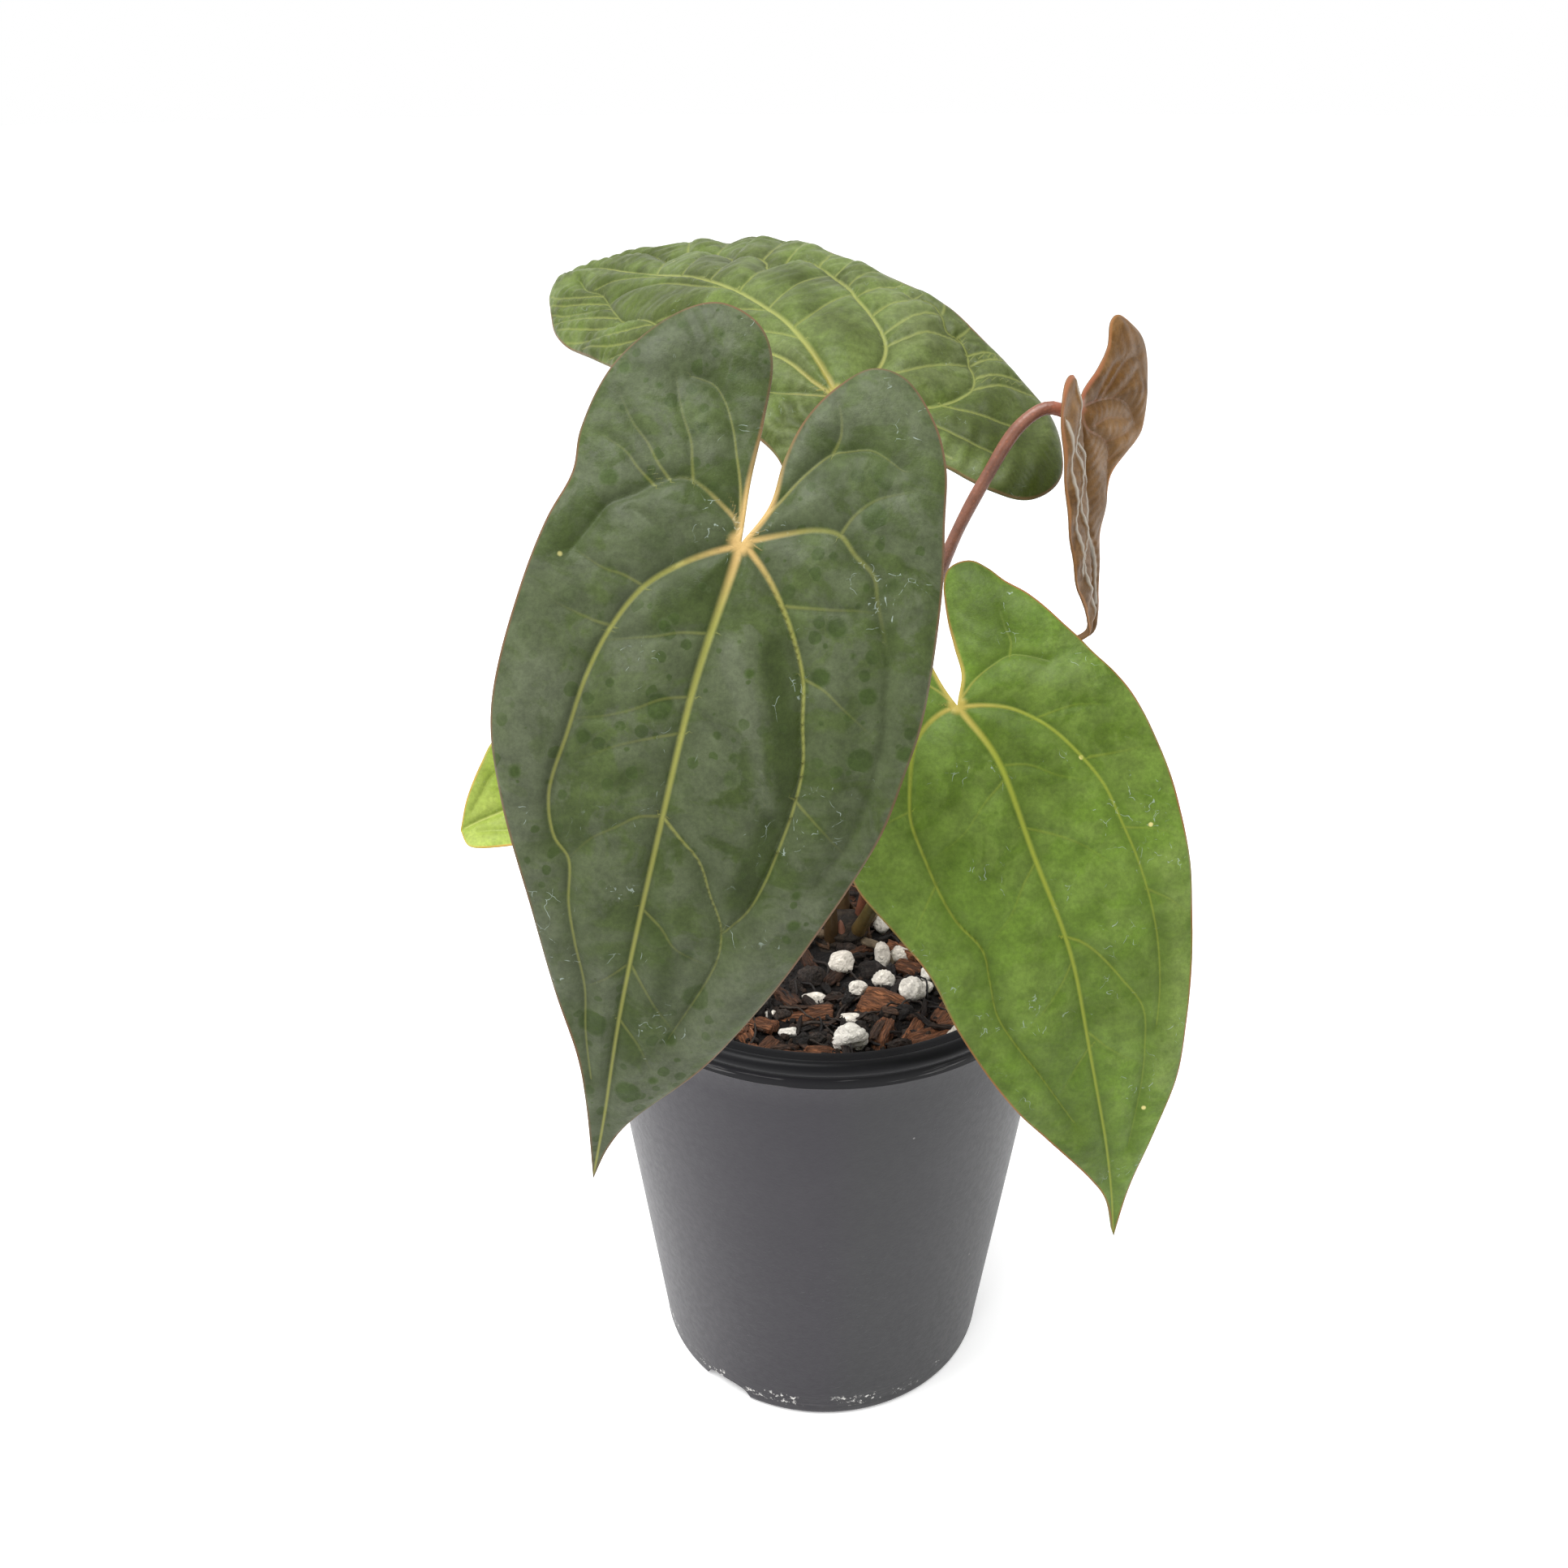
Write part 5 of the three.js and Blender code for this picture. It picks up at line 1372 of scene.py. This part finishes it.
pot.data.materials.append(new_finish("black pot rim", pot_skin, {}, 0.03, Specular_IOR_Level=0.09))
middles = np.zeros(3 * len(pot.data.polygons))
pot.data.polygons.foreach_get("center", middles)
on_rim = middles[2::3] > (STEP_Z - 0.2) * MM
pot.data.polygons.foreach_set("material_index", on_rim.astype(np.int32))
print("faces of the rim:", on_rim.sum())

# %% [markdown]
# ## Growing mix
# The mix is a bed of fine dark crumb with chips of bark, stones of pumice, lumps of char and thin
# roots and twigs on top. The stones and chips are cut shapes: a ball limited by flat planes, so
# that each way out from the middle ends at the nearest plane. The planes are joined by a high
# power: the higher it is, the sharper are the corners. Pumice and char have about ten planes,
# char with deeper dents, and bark has the six of a plank and three more that break its ends. All
# pieces of a kind are worked out in one array.

# %% Cut shapes
MIX_TOP = 160
GAP_MIDDLE = 6


def directions(rows, columns):
    """Unit directions on a globe with rows between its poles."""
    latitude = np.pi * (np.arange(1, rows + 1) / (rows + 1) - 0.5)
    longitude = 2 * np.pi * np.arange(columns) / columns
    level = np.cos(latitude)[:, None]
    upright = np.repeat(np.sin(latitude)[:, None], columns, 1)
    ball = np.stack([level * np.cos(longitude), level * np.sin(longitude), upright], -1)
    return np.vstack([ball.reshape(-1, 3), [[0, 0, -1], [0, 0, 1]]])


def turns(rolls, tilt, spin):
    """A turning matrix per piece: spin about the upright axis after a tilt about a level one."""
    count = len(spin)
    axis = 2 * np.pi * rolls.random(count)
    c, s = np.cos(tilt), np.sin(tilt)
    x, y = np.cos(axis), np.sin(axis)
    zero = np.zeros(count)
    lean = np.stack([np.stack([c + x * x * (1 - c), x * y * (1 - c), y * s], -1),
                     np.stack([x * y * (1 - c), c + y * y * (1 - c), -x * s], -1),
                     np.stack([-y * s, x * s, c], -1)], 1)
    yaw = np.stack([np.stack([np.cos(spin), -np.sin(spin), zero], -1),
                    np.stack([np.sin(spin), np.cos(spin), zero], -1),
                    np.stack([zero, zero, zero + 1], -1)], 1)
    return lean @ yaw


def cut_pieces(rolls, centres, sizes, tilt, spin, planes, sharp, grid, box, grooves, dents):
    """Points of every piece: centre + turn * size * direction * limit(direction), where limit is
    the soft minimum over planes of offset / (direction . normal), and at most that of a ball. Also
    the length and breadth of each point in its own piece, in mm, for a grain along it."""
    count = len(centres)
    way = directions(*grid)
    normals = unit(rolls.normal(size=(count, planes, 3)))
    offsets = rolls.uniform(0.72, 1.0, (count, planes))
    if box:
        sides = np.array([[1, 0, 0], [-1, 0, 0], [0, 1, 0], [0, -1, 0], [0, 0, 1], [0, 0, -1]], float)
        tipped = unit(sides + box * rolls.normal(size=(count, 6, 3)))
        normals = np.concatenate([tipped, normals], 1)
        offsets = np.concatenate([np.full((count, 6), 0.66), offsets * 1.05], 1)
    facing = np.maximum(np.einsum("pk,cnk->cpn", way, normals), 1e-3)
    limit = (((facing / offsets[:, None]) ** sharp).sum(-1) + 0.88**sharp) ** (-1 / sharp)
    wobble = np.sin(3 * way @ rolls.normal(size=(3, count)) * 2 + 6 * rolls.random(count)).T
    ripple = np.sin(9 * way @ rolls.normal(size=(3, count)) + 6 * rolls.random(count)).T
    limit = limit * (1 + dents * wobble + 0.6 * dents * ripple)
    shape = way[None] * limit[..., None] * sizes[:, None]
    own = shape[..., :2].copy()
    if grooves:
        across = shape[..., 1] * (9 / np.maximum(sizes[:, None, 1], 0.5))
        across = across + 6 * rolls.random(count)[:, None]
        shape[..., 2] += grooves * sizes[:, None, 2] * np.sin(across + 0.8 * np.sin(shape[..., 0]))
        shape[..., 2] += 0.012 * shape[..., 0] ** 2 * rolls.uniform(-1, 1, count)[:, None]
    return centres[:, None] + np.einsum("cij,cpj->cpi", turns(rolls, tilt, spin), shape), own


def new_pieces(name, points, rows, columns, slot, tones, crease=None, own=None):
    """One mesh of many closed pieces, each of whose points carries the piece's own tone."""
    count, per = points.shape[:2]
    shift_by = (per * np.arange(count))[:, None, None]
    quads, tris = ((shift_by + faces).reshape(-1, faces.shape[1])
                   for faces in ring_faces(rows, columns))
    floats = {"tone": np.repeat(tones, per)}
    if own is not None:
        floats |= {"length_mm": own[..., 0].ravel(), "breadth_mm": own[..., 1].ravel()}
    return new_piece(name, points.reshape(-1, 3), quads, tris, slot, (), floats, None, crease)


def cut_pile(name, rolls, centres, sizes, tilt, spin, planes, sharp, grid, crease=None, box=None,
             grooves=0.0, dents=0.04, tones=(0, 1), hand_tones=()):
    """One mesh of cut pieces, with the tones of the listed ones first and the others drawn."""
    points, own = cut_pieces(rolls, centres, sizes, tilt, spin, planes, sharp, grid, box,
                             grooves, dents)
    drawn = rolls.uniform(*tones, len(centres) - len(hand_tones))
    return new_pieces(name, points, *grid, "growing_mix", np.concatenate([hand_tones, drawn]), crease,
                      own if grooves else None)


# %% [markdown]
# The pieces lie on the bed, whose height is a formula of the place, so that each can be set on it or
# sunk into it by a share of its own height. Places come from a spiral that turns by the golden angle, as
# seeds do in a flower head. Where pieces are listed one by one, the spiral leaves a gap.


# %% Places on the bed
def bed_height(x, y):
    """Height of the crumb bed: a flat top with low waves, which dips a little at the pot's wall."""
    waves = np.sin(x / 7 + 1) * np.cos(y / 8) + 0.6 * np.sin(x / 3.1 - y / 4.3)
    fine = 0.35 * np.sin(x * 1.3 + 2 * np.sin(y * 0.9)) * np.cos(y * 1.7)
    return MIX_TOP + 1.1 * waves + fine - 0.6


def scattered(rolls, count, reach, clear):
    """Places that turn by the golden angle and step outwards evenly, so they cover the whole top."""
    k = np.arange(count)
    angle = k * math.radians(137.5) + rolls.uniform(-0.3, 0.3, count)
    radius = clear + (reach - clear) * np.sqrt((k + rolls.uniform(0.1, 0.9, count)) / count)
    return np.stack([radius * np.cos(angle), radius * np.sin(angle)], -1)


def hand_and_loose(rolls, hand, count, reach, clear, gap=None):
    """Listed places, then scattered ones outside the gap (far y, near y, half width), and the number of
    those."""
    loose = scattered(rolls, count, reach, clear)
    if gap:
        far, near, half = gap
        seen = (loose[:, 1] < far) & (loose[:, 1] > near) & (np.abs(loose[:, 0] - GAP_MIDDLE) < half)
        loose = loose[~seen]
    return np.vstack([hand[:, :2], loose]), len(loose)


def on_bed(places, lift):
    """Places on the bed, lifted from it."""
    return np.column_stack([places, bed_height(*places.T) + lift])


# %% [markdown]
# The bed is a filled body: a lathed section like the pot's inside, with its top raised by the
# waves. Fine noise in the material turns it to crumb.

# %% Bed of fine mix
rings = [[0, 2], [30, 2], [52, 2], [53.4, 7.5]]
rings += [[wall_radius(z) - WALL - 0.35, z] for z in (8, 40, 80, 120, 150, 157)]
rings += [[wall_radius(159) - WALL - 0.6, 159.3]]
rings += [[radius, MIX_TOP] for radius in np.linspace(77.5, 0.8, 92)]
rings += [[0, MIX_TOP]]
r, a, z, faces = lathe(np.array(rings, float), 220)
z = np.where(z >= MIX_TOP - 0.01, bed_height(r * np.cos(a), r * np.sin(a)), z)
points = turned(r, a, z, (rings[0][1], bed_height(0.0, 0.0)))
bed = new_piece("bed_of_mix", points, *faces, "growing_mix", ("potting_mix",))

# %% [markdown]
# Some stones and chips are listed one by one, where they show between the leaves. Each row gives the
# place, and half its length, width and height. The rest are scattered by a seeded rule.

# %% Stones and chips
rolls = np.random.default_rng(7)
TURN = 6.28
PUMICE_SET = [[6, -4.4, 4.8, 4.2, 3.9], [21, 1.4, 2.7, 3.4, 4.6], [27.4, 3.9, 4.2, 3.2, 2.6],
              [20.4, -13.5, 3.5, 3.0, 3.4], [11, -19, 3.3, 2.8, 2.8], [29.5, -22.4, 4.1, 3.6, 4.6],
              [34.8, -17.4, 2.7, 2.2, 2.0], [35.4, -10.7, 2.0, 2.4, 2.4], [-4.5, -21.8, 4.4, 2.2, 1.9],
              [6.5, -48.4, 5.5, 4.4, 4.6], [-19.4, -32.2, 2.0, 1.7, 1.2], [-22.6, -30.6, 1.7, 1.2, 1.1],
              [-12.7, -40.5, 3.4, 2.0, 1.8], [9, -34.5, 5.3, 2.7, 1.9]]
hand = np.array(PUMICE_SET)
places, n = hand_and_loose(rolls, hand, 46, 70, 15, (8, -62, 36))
loose_sizes = rolls.uniform(2.6, 5.2, (n, 1)) * rolls.uniform(0.75, 1.1, (n, 3))
sizes = np.vstack([hand[:, 2:], loose_sizes])
spin = np.concatenate([np.zeros(len(hand)), rolls.uniform(0, TURN, n)])
tilt = rolls.uniform(-0.25, 0.25, len(sizes))
pumice = cut_pile("pumice_stones", rolls, on_bed(places, 0.55 * sizes[:, 2]), sizes * 1.04, tilt, spin,
                  planes=10, sharp=34, grid=(22, 30))

BARK_SET = [[-7.7, -31.3, 10.0, 3.4, 1.7, 0.05, 1.0], [19.1, -26.8, 8.0, 5.2, 2.2, -0.5, 1.6],
            [17.6, -43.5, 6.0, 3.4, 2.0, 1.25, 1.0], [28.2, -42.6, 6.6, 2.4, 1.6, 1.1, 1.1],
            [34.2, -44.6, 8.2, 4.0, 1.8, 0.45, 1.4], [29.5, -4.2, 5.0, 3.4, 2.2, -0.4, 0.9],
            [-21.3, -38.9, 4.4, 2.8, 1.6, -0.5, 0.95], [-2.4, -54, 5.2, 3.0, 1.4, 0.1, 1.3],
            [-20.2, -48, 5.0, 3.0, 1.6, 0.9, 0.7], [-34, -42, 8, 4, 1.8, 0.4, 0.9],
            [-14, -56, 7, 3.4, 1.6, -0.2, 0.8], [22, -56, 8, 3.6, 1.8, 0.25, 0.9],
            [3, -10, 5, 2.4, 1.6, 0.9, 0.35], [-14, -24, 5.5, 2.2, 1.5, -0.9, 0.5],
            [40, -32, 7, 3.2, 1.6, 1.0, 1.0], [12, 6, 6, 2.8, 1.7, 0.7, 0.7],
            [-6, 1, 5, 2.4, 1.6, 1.9, 0.5]]
hand = np.array(BARK_SET)
places, n = hand_and_loose(rolls, hand, 96, 68, 13, (4, -58, 32))
limits = ((4.5, 10), (2.2, 4.6), (1.2, 2.2))
loose_sizes = np.column_stack([rolls.uniform(*pair, n) for pair in limits])
sizes = np.vstack([hand[:, 2:5], loose_sizes])
spin = np.concatenate([hand[:, 5], rolls.uniform(0, TURN, n)])
tilt = np.concatenate([rolls.uniform(-0.18, 0.18, len(hand)), rolls.uniform(-0.3, 0.3, n)])
bark = cut_pile("bark_chips", rolls, on_bed(places, 0.5 * sizes[:, 2]), sizes * 1.45, tilt, spin,
                planes=3, sharp=30, grid=(17, 28), crease=50, box=0.13, grooves=0.16,
                tones=(0.3, 1.3), hand_tones=hand[:, 6])

CHAR_SET = [[-4.8, -11.9, 4.4, 3.6, 3.4], [2.8, -20.8, 2.3, 2.0, 2.4], [16, -7.1, 4.2, 3.0, 2.8],
            [7.7, -16.3, 2.1, 2.0, 2.0], [8.5, 6.1, 3.0, 2.4, 2.0], [23.4, -8, 2.0, 4.2, 2.6],
            [-3.8, -46.1, 2.8, 2.2, 1.8], [0, -27, 2.4, 2.0, 1.6], [14, -34, 3.0, 2.2, 1.6],
            [-10, -16, 2.6, 2.0, 1.8], [26, -32, 3.2, 2.6, 2.0], [-15, -33, 2.2, 1.8, 1.6]]
hand = np.array(CHAR_SET)
places, n = hand_and_loose(rolls, hand, 40, 69, 12)
loose_sizes = rolls.uniform(1.8, 4.0, (n, 1)) * rolls.uniform(0.6, 1.1, (n, 3))
sizes = np.vstack([hand[:, 2:], loose_sizes])
spin = np.concatenate([np.zeros(len(hand)), rolls.uniform(0, TURN, n)])
tilt = rolls.uniform(-0.5, 0.5, len(sizes))
char = cut_pile("char_lumps", rolls, on_bed(places, 0.4 * sizes[:, 2]), sizes * 1.15, tilt, spin,
                planes=9, sharp=30, grid=(14, 20), crease=30, dents=0.1)

# %% [markdown]
# Hundreds of dark splinters and thousands of crumbs fill the gaps. They are too many to set by
# hand, so all are scattered, and a crumb has only a few dozen faces.

# %% Splinters and crumbs
n = 240
places = scattered(rolls, n, 72, 10)
limits = ((2.5, 6.5), (0.5, 1.3), (0.4, 1.0))
sizes = np.column_stack([rolls.uniform(*pair, n) for pair in limits])
centres = on_bed(places, rolls.uniform(0.6, 3.2, n))
tilt, spin = rolls.uniform(-0.5, 0.5, n), rolls.uniform(0, TURN, n)
splinters = cut_pile("dark_splinters", rolls, centres, sizes * 1.4, tilt, spin, planes=3, sharp=30,
                     grid=(9, 14), crease=45, box=0.2, grooves=0.2, tones=(0, 0.7))

n = 2600
places = scattered(rolls, n, 76.5, 9)
sizes = rolls.uniform(0.35, 1.5, (n, 1)) ** 1.2 * rolls.uniform(0.5, 1.3, (n, 3))
tilt, spin = rolls.uniform(-1, 1, n), rolls.uniform(0, TURN, n)
crumbs = cut_pile("mix_crumbs", rolls, on_bed(places, 0.4 * sizes[:, 2]), sizes, tilt, spin, planes=6,
                  sharp=20, grid=(3, 6), crease=20)

# %% [markdown]
# Twigs and old root threads lie over the stones. Each is a thin tube along a sagging arc: a
# straight line between its ends, raised by a half wave and bent sideways by another.

# %% Twigs and threads
TWIG_SET = [[-4.6, 3, 1.4, -17.3, 0.6], [18.8, 5.2, 5.2, -10, 0.65], [-11.2, -38, 3.2, -44.5, 0.6],
            [13.7, -20.7, 1.8, -39.6, 0.55], [-3, 14, 8, 2, 0.7], [20, 12, 30, -2, 0.6],
            [-12, -14, -2, -26, 0.5], [24, -12, 14, -24, 0.45], [-16, -30, -4, -36, 0.45],
            [22, -34, 34, -26, 0.45], [-8, -8, -10, -22, 0.6], [2, -6, 12, -14, 0.5],
            [4, -24, 12, -22, 0.45],
            [10, -4, 22, -12, 0.45], [-14, -20, -6, -30, 0.5], [8, -36, 18, -32, 0.5],
            [0, -34, 12, -40, 0.45], [30, -8, 24, -20, 0.5], [14, -48, 26, -50, 0.5],
            [-10, -44, 0, -50, 0.5]]
hand = np.array(TWIG_SET, float)
n = 90
start = scattered(rolls, n, 66, 14)
way = rolls.uniform(0, TURN, n)
span = rolls.uniform(6, 20, n)
finish = start + np.stack([np.cos(way), np.sin(way)], -1) * span[:, None]
far_out = np.linalg.norm(finish, axis=1) > 70
finish[far_out] = start[far_out] * 0.6
threads = np.vstack([hand, np.column_stack([start, finish, rolls.uniform(0.15, 0.5, n)])])
count, steps, sides = len(threads), 13, 6
t = np.linspace(0, 1, steps)
line = threads[:, None, :2] * (1 - t)[:, None] + threads[:, None, 2:4] * t[:, None]
sideways = np.stack([-(threads[:, 3] - threads[:, 1]), threads[:, 2] - threads[:, 0]], -1)
sway = rolls.uniform(-0.18, 0.18, count)[:, None, None] * np.sin(np.pi * t)[:, None]
sway2 = rolls.uniform(-0.06, 0.06, count)[:, None, None] * np.sin(3 * np.pi * t)[:, None]
line = line + sideways[:, None] * (sway + sway2)
lift = 1.2 + rolls.uniform(0.6, 2.4, count)[:, None] * np.sin(np.pi * t)
paths = np.concatenate([line, (bed_height(line[..., 0], line[..., 1]) + lift)[..., None]], -1)
points = tubes(paths, threads[:, 4][:, None] * (1.1 - 0.5 * t), sides, (0, 0, 1))
twigs = new_pieces("twigs_and_threads", points, steps, sides, "growing_mix", rolls.random(count))

# %% [markdown]
# ## Colours of the mix
# Wet bark runs from near black to red brown with darker grain along it, pumice is off white with tiny
# pits, and char is black with a faint shine. One group serves them all: it blends two colours by the
# piece's own tone, adds grain, and pits the surface: each pit is a dent in the bump, darkened with
# painted shade.

# %% Mix finishes
CRUMB = {"Dark": (0.02, 0.012, 0.008), "Light": (0.1, 0.04, 0.02), "Grain": 0.5, "Pits": 0.5,
         "Scale": 300.0, "Rough": 0.8, "Wood": 0.0}
mix_piece, given, out = new_group("mix piece", CRUMB, LOOKS)
tree = mix_piece
where = object_place(tree)
tone = attribute(tree, "tone")
colour = mix(tree, fade(tree, tone, 0.1, 1.4), given["Dark"], given["Light"])
grain = fade(tree, noise(tree, where, given["Scale"], 5, 0.65, 0.4), 0.36, 0.66, 0.35, 1.55)
inputs = {0: times(tree, attribute(tree, "length_mm"), 0.12), 1: attribute(tree, "breadth_mm"),
          2: times(tree, tone, 37.0)}
fibre_place = place(tree, "CombineXYZ", inputs).outputs[0]
fibre = fade(tree, noise(tree, fibre_place, 2.2, 4, 0.6, 0.3), 0.34, 0.66, 0.2, 1.7)
grain = mix_numbers(tree, given["Wood"], grain, fibre)
colour = mix(tree, given["Grain"], colour, tinted(tree, colour, grey(tree, grain)))
pit_with_painted_shade = fade(tree, noise(tree, where, times(tree, given["Scale"], 4.0), 3, 0.6), 0.56, 0.66)
# Painted shade: the pits are darkened towards the dark colour.
colour = mix(tree, times(tree, pit_with_painted_shade, times(tree, given["Pits"], 0.5)), colour, given["Dark"])
join(tree, out["Color"], colour)
join(tree, out["Roughness"], given["Rough"])
join(tree, out["Height"], sums(tree, "SUBTRACT", grain, times(tree, pit_with_painted_shade, given["Pits"])))


def finish_mix(rows):
    """Gives each piece its own finish: name, piece, bump in mm, then the group's values in order."""
    for name, piece, bump, *values in rows:
        looks = dict(zip(CRUMB, values))
        piece.data.materials.append(new_finish(name, mix_piece, looks, bump, Specular_IOR_Level=0.35))
    print("finishes:", ", ".join(row[0] for row in rows))


finish_mix([
    ("fine crumb", bed, 1.2, (0.007, 0.004, 0.003), (0.040, 0.022, 0.014), 0.9, 0.8, 420.0, 0.85),
    ("pumice", pumice, 0.5, (0.80, 0.73, 0.64), (0.96, 0.92, 0.85), 0.2, 0.3, 500.0, 0.9),
    ("bark", bark, 0.7, (0.022, 0.011, 0.007), (0.215, 0.082, 0.034), 0.9, 0.3, 330.0, 0.7, 0.85),
    ("splinters", splinters, 0.4, (0.008, 0.005, 0.004), (0.150, 0.074, 0.042), 0.8, 0.2, 330.0,
     0.65, 0.85),
    ("char", char, 0.5, (0.010, 0.007, 0.006), (0.050, 0.032, 0.023), 0.9, 0.5, 500.0, 0.55),
    ("crumbs", crumbs, 0.3, (0.008, 0.005, 0.004), (0.060, 0.032, 0.018), 0.8, 0.4, 700.0, 0.8),
    ("threads", twigs, 0.2, (0.007, 0.005, 0.005), (0.036, 0.024, 0.017), 0.6, 0.2, 600.0, 0.6),
])

# %% [markdown]
# ## Crown and roots
# The stem is short: rings of old leaf scars under the feet of the stalks, wrapped in thin brown
# scales, with stout pale roots that dive into the mix. The stem is a lathed body with a ring
# pattern on its radius. Scales are shells with a pointed top, and roots are tubes.

# %% Crown
CROWN = np.array([7.0, 16.0])
STEM_FOOT = 141
STEM_SHOULDER = 169.5
STEM_TOP = 170.3
rows_z = np.linspace(STEM_FOOT, STEM_SHOULDER, 40)
swell = 10.4 - 0.012 * (rows_z - 158) ** 2 + 0.5 * np.sin(rows_z * 2.1)
swell = np.where(rows_z > 166, swell * np.sqrt(np.clip((170.6 - rows_z) / 4.6, 0, 1)), swell)
section = np.vstack([[0, STEM_FOOT], np.column_stack([swell, rows_z]), [0, STEM_TOP]])
r, a, z, faces = lathe(section, 64)
r = r * (1 + 0.05 * np.sin(3 * a + z / 3) + 0.025 * np.sin(7 * a - z))
points = turned(r, a, z, (STEM_FOOT, STEM_TOP), CROWN)
crown = new_piece("short_stem", points, *faces, "crown_bark", ("crown",))

ROOTS = [[[-3, -5, 164.5], [-12, -7, 165.5], [-16, -8, 160], [-17, -8, 152]],
         [[6, -6, 162.5], [13, -12, 163.5], [17, -15, 159], [18, -16, 151]],
         [[7, 4, 163.5], [15, 6, 164.5], [20, 8, 160], [21, 9, 152]],
         [[-2, 8, 162.5], [-6, 15, 163.5], [-9, 19, 158], [-10, 20, 151]]]
steps, sides = 40, 14
paths = np.stack([smooth_line(route, steps - 1) for route in ROOTS]) + np.array([*CROWN, 0])
girth = (1.65 - 0.5 * np.linspace(0, 1, steps)) * (1 + 0.05 * np.sin(np.arange(steps) * 1.7))
points = tubes(paths, girth[None], sides, (0.3, -0.9, 0.2))
roots = new_pieces("stout_roots", points, steps, sides, "crown_bark", rolls.random(len(ROOTS)))

# %% [markdown]
# The scales are what is left of the sheaths that wrapped each new leaf: thin, dry and brown. One
# is a strip bent round the stem, wide at the foot and pointed at the top, made thick by moving a
# second face inwards. A small pink bud, the tip of a new root, pushes out beside them.

# %% Scales and bud
SCALES = np.array([[2.6, 0.9, 15], [3.6, 0.6, 7], [5.9, 0.6, 7], [0.3, 0.8, 14], [1.5, 0.7, 11]])
SCALE_FOOT = 160.5
SCALE_THICKNESS = 0.45
count, rows, columns = len(SCALES), 22, 12
turn, half_width, tall = SCALES.T[:, :, None, None]
v = np.linspace(0, 1, rows)[None, :, None]
u = np.linspace(-1, 1, columns)[None, None, :]
angle = turn + (half_width * (1 - v**2.2) + 0.02) * u
flare = 10.9 - 2.2 * v + 1.6 * v**3 + 0.3 * np.sin(5 * u + 3 * v)
z = SCALE_FOOT + tall * v + 0 * u
shell = np.stack([
    np.stack([CROWN[0] + radius * np.cos(angle), CROWN[1] + radius * np.sin(angle), z], -1)
    for radius in (flare, flare - SCALE_THICKNESS)
], 1)
outer, inner = np.arange(2 * rows * columns).reshape(2, rows, columns)
border, inside = (np.concatenate([n[0, :-1], n[:-1, -1], n[-1, :0:-1], n[:0:-1, 0]])
                  for n in (outer, inner))
edge = np.stack([border, inside, np.roll(inside, -1), np.roll(border, -1)], -1)
quads = np.vstack([square_faces(outer), square_faces(inner)[:, [0, 3, 2, 1]], edge])
quads = (quads[None] + (2 * rows * columns * np.arange(count))[:, None, None]).reshape(-1, 4)
scales = new_piece("bud_scales", shell.reshape(-1, 3), quads, np.zeros((0, 3), int), "crown_bark", (),
                   {"tone": np.repeat(rolls.random(count), 2 * rows * columns)})

path = smooth_line([[8, 12, 161], [6.8, 9.6, 165], [6.1, 8.9, 169], [5.9, 8.8, 172]], 24)
girth = 1.7 * np.sqrt(np.clip(1.0 - np.linspace(0, 1, len(path)) ** 3, 0.01, 1))
points = tubes(path[None], girth[None], 18, (1, 0, 0))[0]
bud = new_piece("root_bud", points, *ring_faces(len(path), 18), "crown_bark", (),
                {"tone": np.ones(len(points))})

finish_mix([
    ("stem bark", crown, 0.6, (0.018, 0.011, 0.006), (0.066, 0.040, 0.018), 0.8, 0.5, 260.0, 0.75),
    ("root skin", roots, 0.3, (0.110, 0.074, 0.043), (0.180, 0.140, 0.090), 0.5, 0.3, 350.0, 0.65),
    ("dry scale", scales, 0.2, (0.066, 0.033, 0.015), (0.120, 0.066, 0.030), 0.7, 0.2, 300.0, 0.6),
    ("pink bud", bud, 0.05, (0.190, 0.070, 0.044), (0.260, 0.120, 0.080), 0.2, 0.0, 400.0, 0.45),
])

# %% [markdown]
# ## Floor
# The pot stands on a plain white table that runs out of sight. A huge flat disc does that. The
# photograph shows hardly a shadow round the pot, as on milky acrylic that is lit from below, so
# the table glows faintly. It is part of the stage, so it is not measured with the plant.

# %% Floor
FLOOR_RADIUS = 12
FLOOR_SIDES = 96
FLOOR_DROP = 0.0002
ACRYLIC = {"Base Color": (0.96, 0.96, 0.96), "Roughness": 0.9, "Emission Color": (1.0, 1.0, 1.0),
           "Emission Strength": 0.25, "Specular IOR Level": 0.1}
angle = 2 * np.pi * np.arange(FLOOR_SIDES) / FLOOR_SIDES
around = [FLOOR_RADIUS * np.cos(angle), FLOOR_RADIUS * np.sin(angle), 0 * angle - FLOOR_DROP]
disc = np.stack(around, -1)
floor_mesh = bpy.data.meshes.new("floor")
floor_mesh.from_pydata(disc.tolist(), [], [list(range(FLOOR_SIDES))])
floor = bpy.data.objects.new("floor", floor_mesh)
bpy.context.scene.collection.objects.link(floor)
acrylic = bpy.data.materials.new("white acrylic")
acrylic.use_nodes = True
acrylic_shader = acrylic.node_tree.nodes["Principled BSDF"]
for key, value in ACRYLIC.items():
    join(acrylic.node_tree, acrylic_shader.inputs[key], value)
floor_mesh.materials.append(acrylic)
floor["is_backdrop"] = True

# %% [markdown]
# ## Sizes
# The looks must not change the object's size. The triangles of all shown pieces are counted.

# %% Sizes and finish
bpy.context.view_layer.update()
triangles = sum(len(p.vertices) - 2 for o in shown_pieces() if o.type == "MESH" for p in o.data.polygons)
print("triangles in all:", triangles)
